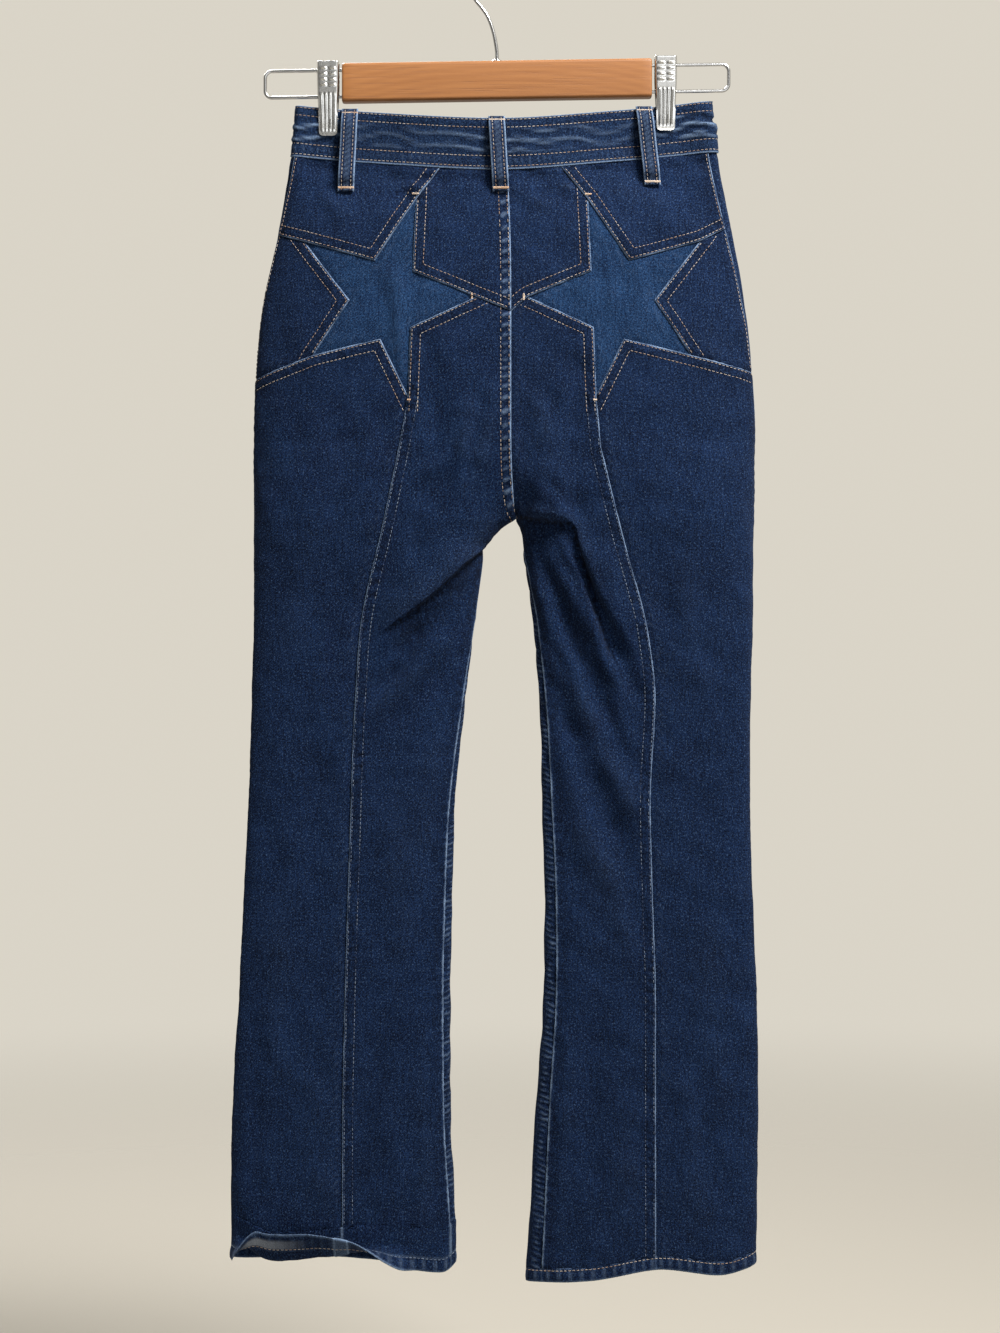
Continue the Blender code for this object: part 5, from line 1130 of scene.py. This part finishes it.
def makeHem(side):
    # a profile down the outside, round the edge and up the inside, carried round the leg; the left one turns
    # outwards behind, its bend given by the share
    leg, pattern, word, curls = legs[side], patterns[side], sideNames[side], side == left
    depth, scale, above = pattern.rise, hemCurl["half"], hemCurl["above"]
    seamShares = [pattern.foot(shareOf)[0] for shareOf in (leg.inseamShare, leg.legSeamShare)]
    shares = np.linspace(0, 2, round(2 * scale / hemCurl["columnStep"]), endpoint=False)
    for seamShare in seamShares:               # closer columns beside the seams that run down to the hem
        beside = seamShare + np.arange(-7.6, 7.7, 0.8) / scale
        shares = np.sort(np.append(shares[np.abs(shares - seamShare) > 8.6 / scale], beside))
    levels = np.concatenate([above, np.arange(0.0, depth - 0.9, 1.1), (depth - 0.5, depth - 0.12, depth)])
    tops = leg.hemAt(shares, depth)
    start, out, down = leg.point(shares, tops), leg.normal(shares, tops), np.array((0, 0, -1.0))
    around = np.where(shares < 1, curveThrough(hemCurl["turns"], np.clip(shares, 0, 1)), 0.0) * curls
    stretch = 1 + hemCurl["stretch"] * (around / 150) ** 2
    fromSeam = np.abs(shares - seamShares[1]) * scale
    tab = ease((hemCurl["tabHalf"] + 0.6 - fromSeam) / 1.2) * (around > 0)    # the leg seam's turned ends
    tabEdge = bell(fromSeam - hemCurl["tabHalf"], 0.8) * (around > 0)
    low, high = hemCurl["wrongSide"]
    pale = ease((shares - low) / 0.24) * (1 - ease((shares - high) / 0.05)) * curls
    ridges = sum(bell((shares - seamShare) * scale, 1.0) for seamShare in seamShares)
    u = leg.toFlat(np.where(shares < seamShares[0], shares + 2, shares), tops)

    def bendAt(share):
        first, last = hemCurl["bend"]
        return (np.radians(around) * ease((share - first) / (last - first)))[:, None]

    rows, place, before = [], start, 0.0
    for level in levels:
        if level > 0:
            bend = bendAt((level + before) / 2 / depth)
            place = place + (out * np.sin(bend) + down * np.cos(bend)) * ((level - before) * stretch)[:, None]
        else:
            place = start + down * level
        before, edge, bend = level, depth - level, bendAt(level / depth)
        face = out * np.cos(bend) - down * np.sin(bend)
        flat = stacked(u, tops - level)
        turnedPart = ease((24 - edge) / 4)
        seam = ridges * (1.0 if edge > 12 else 0.5) * (1 - tab * turnedPart)
        bulge = 0.42 * bell(edge - 4.5, 3.2) - 0.36 * bell(edge - hemCurl["row"], 1.0)
        pucker = np.sin(2 * math.pi * (u / 8.6 + 0.3 * np.sin(u / 21))) * bell(edge - 6, 4.2)
        rounded = math.sqrt(max(0.0, 1 - (1 - min(edge, 0.9) / 0.9) ** 2))
        hidden = {above[0]: -1.3, above[1]: -0.7}.get(level, 0.0)
        half = hemCurl["thickness"] / 2 if edge < 11.5 else 0.55
        middle = clothRelief(leg, flat)[0] + 0.4 * seam - half
        tabLift = hemCurl["tabLift"] * tab * rounded
        outLift = middle + half * rounded + (bulge + 0.16 * pucker) * rounded + hidden + 0.6 * tabLift
        inLift = np.minimum(middle - half * rounded - 0.3 * bulge, outLift - 0.3) - tabLift
        # puckers paler on their crests and darkened with painted shade in their troughs; pale worn seam ridges,
        # folded edge, turned tab and a line below the row of stitches
        wearAndShade = (0.2 * pucker * (1 - tab) + 0.6 * seam + (1.1 * tabEdge + 0.45 * tab) * turnedPart
                + 0.55 * bell(edge, 1.1) + 0.16 * bell(edge - hemCurl["row"] - 1.3, 0.9))
        if edge < 9.6:
            backing = pale * (1 - tab) * ease((edge - hemCurl["roll"] + 1) / 2)
        else:
            backing = 1.0 * (around <= 0) if edge > 11 else 0 * pale
        skins = (place + face * lift[:, None] for lift in (outLift, inLift))
        rows.append((*skins, face, flat * mm, wearAndShade, backing))
    outer, inner, face, uv, wearAndShade, backing = (np.stack(part, axis=1) for part in zip(*rows))
    rings, uv, wearAndShade, backing = (np.concatenate([first, last[:, ::-1]], axis=1) for first, last in (
        (outer, inner), (uv, uv), (wearAndShade, 0.5 * wearAndShade), (0 * backing, backing)))
    points, faces = ringSolid(rings * mm, True, flip=curls)
    piece = addPiece(f"hem_{word}_cloth", points, faces, panelDenim, uv.reshape(-1, 2),
                     {"wearAndShade": wearAndShade.ravel(), "backing": backing.ravel()}, [f"hem_{word}"], 62)
    (depth + 1.3) * mm
    # the stitches outside, and on the side that shows where the hem is turned out
    place = int(np.argmin(np.abs(depth - levels - hemCurl["row"])))
    for skin, way, thread in ((outer, face, "navy"), (inner, -face, "tan")) if curls else ((outer, face, "tan"),):
        sewEvenly(*(np.vstack([grid[:, place], grid[:1, place]]) for grid in (skin, way)), thread)
    print("hem:", word, len(faces))


for side in legs:
    makeHem(side)


loopForm = {
    "width": 14.0, "thickness": 2.2, "seat": 0.48, "rise": 1.0, "rowApart": 3.9,
    "levels": (0, 0.05, 0.13, 0.25, 0.5, 0.72, 0.84, 0.93, 1.0), "arch": (0, 0.1, 0.7, 1, 1, 1, 0.75, 0.12, 0),
    "across": (-1, -0.97, -0.9, -0.78, -0.66, -0.54, -0.42, -0.28, -0.1,
               0.1, 0.28, 0.42, 0.54, 0.66, 0.78, 0.9, 0.97, 1),
}
loopPlaces = (  # sheet, across at the top and the bottom, drop below the band, stand off it
    ("back_left", "back", -124.6, -127.8, 27, 6.4), ("back_centre", "back", -0.4, 3.4, 19, 5.6),
    ("back_right", "back", 124.6, 131.8, 24, 6.4), ("front_left", "front", -98.0, -100.0, 22, 8.6),
    ("front_right", "front", 100.0, 102.0, 22, 8.6))


def bodyDepth(x, z, sheet):  # y of the cloth's surface, from whichever half holds the place
    x, z = np.broadcast_arrays(x, z)
    both = [leg.place(leg.shareAt(x, z, sheet), z)[1] for leg in legs.values()]
    return np.where(x < curveThrough(form["centreSeam"], z), both[0], both[1])


def makeLoop(word, sheet, topX, bottomX, drop, stand, seed):
    # a folded strip carried down an arch: two grooves for its stitches, a padded middle, rounded folded edges
    sign, place = (-1, 1) if sheet == "back" else (1, 2)
    top = float(curveThrough(form["waistTop"], topX, place)) + loopForm["rise"]
    bottom = float(curveThrough(form["waistTop"], bottomX, place)) - band["height"] - drop
    levels = np.unique(np.concatenate([np.linspace(0, 1, 72), (0.004, 0.996)]))
    heights = top + (bottom - top) * levels
    arch = curveThrough(list(zip(loopForm["levels"], loopForm["arch"])), levels)
    across, half = np.array(loopForm["across"]), loopForm["thickness"] / 2
    reach, away = across * loopForm["width"] / 2, np.abs(across)
    middle = np.interp(heights, (bottom, top), (bottomX, topX))
    x, z, along = middle[:, None] + reach, heights[:, None], levels[:, None] * (top - bottom)
    surface = sign * bodyDepth(x, z, sheet)
    # the strip is stiff across, so its depth is a soft mean over its width
    surface = 0.35 * surface + 0.65 * surface.mean(axis=1, keepdims=True)
    off = band["lift"] * (1 - ease((levels - 0.84) / 0.1)) + loopForm["seat"] + (stand - 0.3) * arch
    seat = surface + off[:, None]
    groove = bell(np.abs(reach) - loopForm["rowApart"], 1.0)
    edge = np.sqrt(np.clip(1 - np.clip((away - 0.86) / 0.14, 0, 1) ** 2, 0, 1))
    wave = np.sin(along * 1.35 + across * 6.0 + 0.8 * np.sin(along / 5 + seed)) * (1 - 0.4 * away)
    ends = np.minimum(1, np.minimum(levels, 1 - levels)[:, None] / 0.012)
    puff = 0.30 * (1 - across ** 2) - 0.42 * groove + 0.06 * wave
    outer = seat + half + (half + puff) * edge * ends
    inner = seat + half - half * edge * ends
    rings = np.concatenate([stacked(x, sign * outer, z), stacked(x, sign * inner, z)[:, ::-1]], axis=1)
    # pale worn folded edges, a faint tone that follows the puckers, and painted shade along the two stitch grooves
    wearAndShade = 0.9 * bell(away - 0.95, 0.09) + (0.07 * wave + 0.10) * (1 - groove) - 0.3 * groove
    flat = stacked(reach + seed * 40, -along) * mm
    points, faces = ringSolid(rings * mm, flip=sign < 0)
    layers = {"wearAndShade": np.concatenate([wearAndShade, 0 * wearAndShade], axis=1).ravel(), "backing": np.zeros(len(points))}
    piece = addPiece(f"belt_loop_{word}_cloth", points, faces, loopDenim,
                     np.concatenate([flat, flat[:, ::-1]], axis=1).reshape(-1, 2), layers,
                     [f"belt_loop_{word}"], 62)
    for offset in (-loopForm["rowApart"], loopForm["rowApart"]):
        column = np.array([np.interp(offset, reach, row) for row in outer])
        line = stacked(middle + offset, sign * column, heights)[1:-1]
        sewEvenly(line, np.tile((0.0, sign, 0.0), (len(line), 1)), "tan")
    for level in (0.055, 0.955):               # a bar of close stitches across each end
        z0 = top + (bottom - top) * level
        x0 = float(np.interp(z0, (bottom, top), (bottomX, topX)))
        for offset in np.linspace(-6.3, 6.3, 17):
            depth = sign * (np.interp(offset, reach, outer[int(level * 71)]) + 0.05)
            sewRow([(x0 + offset, depth, z0 + 1.3), (x0 + offset + 0.25, depth, z0 - 1.3)], [0.0],
                   [(0, sign, 0)] * 2, "rust", share=1.0, girth=1.25)
    print("belt loop:", word)


for seed, row in enumerate(loopPlaces):
    makeLoop(*row, seed=float(seed))

flyForm = {"width": 38.0, "end": -348.0, "inset": 0.8, "lift": 1.5, "grid": 1.2}


def makeFly(leg, top):
    end, width, inset = flyForm["end"], flyForm["width"], flyForm["inset"]
    inner = leg.onChart(2.0, np.linspace(top, end, 24)) - (inset, 0)
    outer = leg.onChart(2.0, np.linspace(top, end + width, 20)) - (inset + width, 0)
    turn = np.linspace(0, math.pi / 2, 9)
    foot = stacked(inner[-1, 0] - width * np.cos(turn), end + width - width * np.sin(turn))
    head = stacked(np.linspace(inner[0, 0], outer[0, 0], 8), top)
    head[:, 1] = leg.waistAt(leg.toShare(*head.T), seams["bandHeight"])
    outer = joined(outer, foot)
    panel = Panel("fly", leg, [(outer, "twin"), (inner[::-1], "single"), (head, "band")], panelDenim, "denim",
                  flyForm["lift"], flyForm["grid"])
    for offset in rowOffsets["twin"]:
        sewAlong(panel, outer, offset, "tan", flyForm["lift"])


makeFly(legs[left], patterns[left].centreWaistFront)

buttonForm = {
    "inset": 16.0, "shank": 0.7, "sides": 40,
    "profile": ((0.0, 0.0), (4.0, 0.0), (7.6, 0.05), (8.4, 0.5), (8.5, 1.4), (8.35, 2.3), (7.7, 2.95), (6.9, 3.0),
                (6.3, 2.7), (5.7, 2.2), (4.6, 2.15), (3.0, 2.35), (1.4, 2.5), (0.0, 2.55)),
}


def makeButton(leg):
    # a profile of reach and height turned round the button's middle
    z = curveThrough(form["waistTop"], [0.0], 2) - band["height"] / 2
    (seat,), (out,) = leg.offChart(leg.onChart(2.0, z) - (buttonForm["inset"], 0))
    seat = seat + out * (band["lift"] + buttonForm["shank"])
    across = np.cross(out, (0, 0, 1.0))
    across /= np.linalg.norm(across)
    sides, profile = buttonForm["sides"], np.array(buttonForm["profile"])
    turn = circleTurns(sides)[:, None]
    ring = np.cos(turn) * across + np.sin(turn) * np.cross(across, out)
    body = seat + profile[1:-1, :1, None] * ring + profile[1:-1, 1:, None] * out
    points = np.concatenate([[seat + out * profile[0, 1]], body.reshape(-1, 3), [seat + out * profile[-1, 1]]])
    faces = [[corner + 1 for corner in face] for face in ringFaces(len(body), sides)]
    last = 1 + (len(body) - 1) * sides
    faces += [[0, 1 + (k + 1) % sides, 1 + k] for k in range(sides)]
    faces += [[len(points) - 1, last + k, last + (k + 1) % sides] for k in range(sides)]
    material, wires = newMaterial("agedBrass", {"Metallic": 1.0})
    grain = wires.objectPlace().noise(260, 4)
    tone = grain.between(0.35, 0.7).blend((0.30, 0.20, 0.115), (0.47, 0.35, 0.21))
    connect(wires, {"Base Color": tone, "Roughness": 0.32 + grain * 0.22})
    addPiece("waist_button_metal", points * mm, [face[::-1] for face in faces], material,
             replaces=["waist_button"])


makeButton(legs[left])


hanger = {
    "tilt": math.radians(0.9), "barLength": 263.0, "barHeight": 33.0, "barThickness": 14.0, "barCentre": -101.5,
    "barRound": 3.0, "wire": 3.0, "wireApart": 22.5, "rodReach": 198.5, "rodRound": 6.0,
    "rodInset": 10.5, "hookRadius": 22.0, "hookWire": 3.2, "hookTurn": (-20, 222),
    "hookNeck": ((-36.8, -14.6), (-45.5, -8.5), (-56.0, -4.2), (-68.0, -1.3), (-80.0, 0.0), (-96.0, 0.0)),
    "clipPlace": 143.3, "clipTop": 18.0, "clipLength": 63.0, "clipWidth": 18.6, "clipTaper": 3.2, "clipSteel": 0.9,
    "saddle": (13.0, 12.4, 30.0), "collar": (  # reach, height above the bar
        (1.7, -0.4), (4.4, -0.4), (4.6, 0.2), (4.3, 0.8), (3.0, 1.2), (2.3, 1.9), (1.7, 2.0)),
}


def tilted(points):  # the bar, rods and clips stand a little askew
    points[..., 2] += points[..., 0] * math.tan(hanger["tilt"])
    return points


def metal(name, colour, rough, streak):
    # rolled or drawn metal with faint scratches along it and a breath of tarnish
    material, wires = newMaterial(name, {"Metallic": 1.0})
    place = wires.objectPlace()
    scratch, cloud = place.noise(900, 3, streak), place.noise(120, 3)
    tone = cloud.between(0.35, 0.75).blend(colour, tinted(colour, 0.8))
    connect(wires, {"Base Color": tone, "Roughness": rough + scratch * 0.12 + cloud * 0.08,
                    "Normal": scratch.bump(0.00002)})
    return material


steel = metal("nickelSteel", (0.60, 0.60, 0.59), 0.15, (1, 1, 0.08))
wireSteel = metal("drawnWire", (0.50, 0.50, 0.50), 0.12, (0.08, 1, 1))


def woodMaterial():
    # fine grain along the bar, broader cathedral arcs through it, varnish over all
    material, wires = newMaterial("honeyWood", {
        "Coat Weight": 0.12, "Coat Roughness": 0.25, "Specular IOR Level": 0.3})
    place = wires.objectPlace()
    x, y, z = (place.part(k) * 1000 for k in range(3))
    waver = place.noise(9, 3, (0.35, 1, 1))
    rings = ((z + y * 0.6 + (x * x) * 0.0009 + waver * 26) * 0.95).sine()
    fibres = place.noise(300, 4, (0.035, 1, 1), 0.65)
    pores = place.noise(900, 2, (0.03, 1, 1)).between(0.58, 0.72)
    tone = (0.5 + rings * 0.09 + (fibres - 0.5) * 1.0 + (waver - 0.5) * 0.5).held()
    colour = tone.blend((0.145, 0.051, 0.0115), (0.235, 0.095, 0.025))
    colour = (pores * 0.4).blend(colour, (0.12, 0.045, 0.015))
    connect(wires, {"Base Color": colour, "Roughness": 0.42 + fibres * 0.2 + pores * 0.1,
                    "Normal": (fibres - pores * 0.8).bump(0.00006)})
    return material


def makeBar():
    # a rounded rectangle carried along the bar, drawn in a little at each end
    corner, half, tall = hanger["barRound"], hanger["barThickness"] / 2, hanger["barHeight"] / 2
    turn = np.concatenate([np.linspace(k * math.pi / 2, (k + 1) * math.pi / 2, 7) for k in range(4)])
    cornerY, cornerZ = np.repeat((1, -1, -1, 1), 7), np.repeat((1, 1, -1, -1), 7)
    reach = hanger["barLength"] / 2
    xs = np.concatenate([[-reach, -reach + 0.3, -reach + 1.0], np.linspace(-reach + 2.2, reach - 2.2, 40),
                         [reach - 1.0, reach - 0.3, reach]])[:, None]
    inward = 1.3 * (1 - np.sqrt(np.clip(1 - (1 - np.clip((reach - np.abs(xs)) / 2.2, 0, 1)) ** 2, 0, 1)))
    rings = stacked(xs, cornerY * (half - corner - inward) + corner * np.cos(turn),
                    hanger["barCentre"] + cornerZ * (tall - corner - inward) + corner * np.sin(turn))
    points, faces = ringSolid(tilted(rings) * mm)
    addPiece("hanger_bar_wood", points, faces, woodMaterial(), replaces=["hanger_bar"], sharp=40)


def makeHook():
    wire, radius, neck = hanger["hookWire"] / 2, hanger["hookRadius"], hanger["hookNeck"]
    angle = np.radians(np.linspace(*hanger["hookTurn"], 60))
    z = np.linspace(neck[0][0] - 3.0, neck[-1][0], 34)
    path = np.concatenate([stacked(radius * np.cos(angle), 0.0, wire - radius + radius * np.sin(angle)),
                           stacked(curveThrough(neck, z), 0.0, z)])
    girth = np.full(len(path), wire)
    girth[0] *= 0.72
    # a collar where the hook enters the bar
    turn, profile = circleTurns(32), np.array(hanger["collar"])
    seat = hanger["barCentre"] + hanger["barHeight"] / 2
    collar = stacked(profile[:, :1] * np.cos(turn), profile[:, :1] * np.sin(turn), seat + profile[:, 1:])
    points, faces = gathered([tube(path * mm, girth * mm, 20),
                              (collar.reshape(-1, 3) * mm, ringFaces(len(profile), len(turn), True))])
    addPiece("hanger_hook_wire", points, faces, wireSteel, replaces=["hanger_hook"], sharp=50)


def makeRod(side):
    half, bend = hanger["wireApart"] / 2, hanger["rodRound"]
    start, end = hanger["barLength"] / 2 - hanger["rodInset"], hanger["rodReach"] - hanger["wire"] / 2
    path = [(x, half) for x in np.linspace(start, end - bend - 1, 30)]
    for middle, first in ((half - bend, 90), (-half + bend, 0)):
        for angle in np.radians(np.linspace(first, first - 90, 12)):
            path.append((end - bend + bend * math.cos(angle), middle + bend * math.sin(angle)))
    path += [(x, -half) for x in np.linspace(end - bend - 1, start, 30)]
    x, z = np.transpose(path)
    points, faces = tube(tilted(stacked(side * x, 0.0, hanger["barCentre"] + z)) * mm, hanger["wire"] / 2 * mm, 16)
    name = f"rod_{sideNames[side]}"
    addPiece(f"{name}_wire", points, faces, wireSteel, replaces=[name], sharp=50)


clipForm = {
    "levels": (0, 0.004, 0.02, 0.05, 0.42, 0.62, 0.80, 0.95, 1.0),
    "out": (6.9, 7.3, 7.4, 7.4, 7.4, 5.4, 3.2, 3.15, 3.9),
    "ribs": (0.10, 0.174, 0.248, 0.322), "ribHeight": 1.15, "ribWidth": 0.014,
    "flutes": (-0.30, -0.10, 0.10, 0.30), "fluteHeight": 0.75, "fluteFrom": 0.42, "fluteTo": 0.95,
    "flange": 2.6, "foot": 3.2,
}


def clipMiddle(side):
    x = side * hanger["clipPlace"]
    return x, hanger["barCentre"] + x * math.tan(hanger["tilt"])


def makePlate(side, face):
    # a pressed plate: two columns of ribs at its head, flutes below them, its long edges turned in, a round foot
    name = f"clip_{sideNames[side]}_{'back' if face < 0 else 'front'}"
    levels = np.concatenate([(0.0, 0.004, 0.012), np.linspace(0.02, 0.985, 110), (0.992, 0.997, 1.0)])
    across = np.linspace(-1, 1, 37)
    away, corner = np.abs(across), clipForm["foot"] / hanger["clipLength"]
    foot = np.sqrt(np.clip(1 - np.clip((levels - 1 + corner) / corner, 0, 1) ** 2 * 0.6, 0.0, 1))
    width = (hanger["clipWidth"] - hanger["clipTaper"] * ease((levels - 0.2) / 0.8)) * foot
    out = curveThrough(list(zip(clipForm["levels"], clipForm["out"])), levels)
    column = bell(away - 0.42, 0.27, 4)
    ribs = sum(bell(levels - rib, clipForm["ribWidth"]) for rib in clipForm["ribs"])
    reach = ease((levels - clipForm["fluteFrom"]) / 0.05) * (1 - ease((levels - clipForm["fluteTo"] + 0.05) / 0.05))
    flutes = sum(bell(across - flute * 2, 0.11) for flute in clipForm["flutes"])
    relief = clipForm["ribHeight"] * ribs[:, None] * column + clipForm["fluteHeight"] * reach[:, None] * flutes
    turned = np.clip((away - 0.84) / 0.16, 0, 1)
    inward = clipForm["flange"] * turned ** 2 * (1 - ease((levels - 0.55) / 0.2))[:, None]
    middle, headZ = clipMiddle(side)
    x = middle + across * width[:, None] / 2
    z = headZ + hanger["clipTop"] - levels[:, None] * hanger["clipLength"]
    inner = out[:, None] + 0.85 * relief - inward
    outer = inner + hanger["clipSteel"] + 0.15 * relief
    rings = np.concatenate([stacked(x, face * outer, z), stacked(x, face * inner, z)[:, ::-1]], axis=1)
    points, faces = ringSolid(rings * mm, flip=face < 0)
    addPiece(f"{name}_steel", points, faces, steel, replaces=[name], sharp=35)


def makeSaddle(side):
    # a folded bracket between the plates with a coiled spring through it
    name = f"clip_{sideNames[side]}_saddle"
    sx, sy, sz = hanger["saddle"]
    x, z = clipMiddle(side)
    turn = circleTurns(28)
    ringY, ringZ = (np.sign(v) * np.abs(v) ** 0.35 * size / 2
                    for v, size in ((np.cos(turn), sy), (np.sin(turn), sz)))
    step, scale = np.transpose([(-0.6, 0.96), (-0.45, 1.0), (0.45, 1.0), (0.6, 0.96)])[..., None]
    parts = [ringSolid(stacked(x + offset + step, ringY * scale, z + ringZ * scale) * mm)
             for offset in (-sx / 2 + 0.6, sx / 2 - 0.6)]
    coil = np.linspace(0, 7 * 2 * math.pi, 7 * 18)
    along = np.linspace(-sx / 2 + 1.4, sx / 2 - 1.4, len(coil))
    spring = stacked(x + along, 4.2 * np.cos(coil), z + 4.2 * np.sin(coil))
    points, faces = gathered(parts + [tube(spring * mm, 0.7 * mm, 8)])
    addPiece(f"{name}_steel", points, faces, steel, replaces=[name], sharp=50)


makeBar()
makeHook()
for side in legs:
    makeRod(side)
    makeSaddle(side)
    for face in (-1, 1):
        makePlate(side, face)
print("hanger ready")

for thread, (finish, slot) in threads.items():
    points = np.concatenate(threadRows[thread])
    addPiece(f"stitches_{thread}", points.reshape(-1, 3) * mm, threadFaces(len(points)), finish)
    print("stitches:", thread, len(points))

for name, width, length, cut in Panel.made:
    print(f"  cut {name}: {width:.3f} x {length:.3f} m, {cut:.4f} m2")

stage = {"floor": -1330.0, "radius": 9.0, "distance": 2.25, "frameHeight": 1.133, "centre": (2.6, -599.0)}
plainWall = (0.70, 0.66, 0.575)
floorMaterial, wires = newMaterial("paleFloor", {
    "Base Color": (0.26, 0.245, 0.215, 1.0), "Roughness": 0.95, "Specular IOR Level": 0.0})
spot = wires.objectPlace()
reach = spot.node("ShaderNodeVectorMath", {0: spot}, output=1, operation="LENGTH")
connect(wires, {"Alpha": 1 - (reach - 1.0).between(0.2, 2.6)})
turn = circleTurns(96)
floorMesh = bpy.data.meshes.new("floor")
disc = stacked(np.cos(turn), np.sin(turn), 0.0) * stage["radius"] + (0, 0, stage["floor"] * mm)
floorMesh.from_pydata(disc.tolist(), [], [list(range(len(turn)))])
floorMesh.materials.append(floorMaterial)
floor = bpy.data.objects.new("floor", floorMesh)
bpy.context.scene.collection.objects.link(floor)

# a plain pale room; its reflection is dimmer and uneven on the side that the jeans face, so that the metal has
# something to mirror
world = bpy.data.worlds.new("studio")
bpy.context.scene.world = world
world.use_nodes = True
studio = Wire(world.node_tree).node("ShaderNodeTexCoord", output=0)
room = studio.noise(2.6, 2, (1, 1, 0.5)).between(0.42, 0.58).blend((0.085, 0.08, 0.075), (0.60, 0.58, 0.53))
room = studio.part(1).between(-0.25, 0.05).blend(room, plainWall)
sky = studio.node("ShaderNodeLightPath").blend(room, plainWall)
world.node_tree.links.new(sky.socket, world.node_tree.nodes["Background"].inputs[0])
bpy.context.scene.view_settings.view_transform = "Standard"
for name, place, size, power, tint in (
        ("keyLight", (1.0, -1.15, 1.45), 0.7, 185, (1.0, 0.98, 0.95)),
        ("fillLight", (0.9, -2.6, -0.7), 2.2, 29, (0.96, 0.98, 1.0)),
        ("frontLight", (-0.8, 1.8, 1.3), 1.0, 110, (1.0, 0.99, 0.97))):
    light = bpy.data.lights.new(name, "AREA")
    light.size, light.energy, light.color = size, power, tint
    lamp = bpy.data.objects.new(name, light)
    lamp.location = place
    lamp.rotation_euler = (Vector((0, 0, -0.6)) - Vector(place)).to_track_quat("-Z", "Y").to_euler()
    bpy.context.scene.collection.objects.link(lamp)

camera = bpy.data.cameras.new("camera")
camera.sensor_width = 36.0
camera.lens = camera.sensor_width * stage["distance"] / stage["frameHeight"]
viewer = bpy.data.objects.new("camera", camera)
viewer.location = (stage["centre"][0] * mm, -stage["distance"], stage["centre"][1] * mm)
viewer.rotation_euler = (math.pi / 2, 0, 0)
bpy.context.scene.collection.objects.link(viewer)
bpy.context.scene.camera = viewer
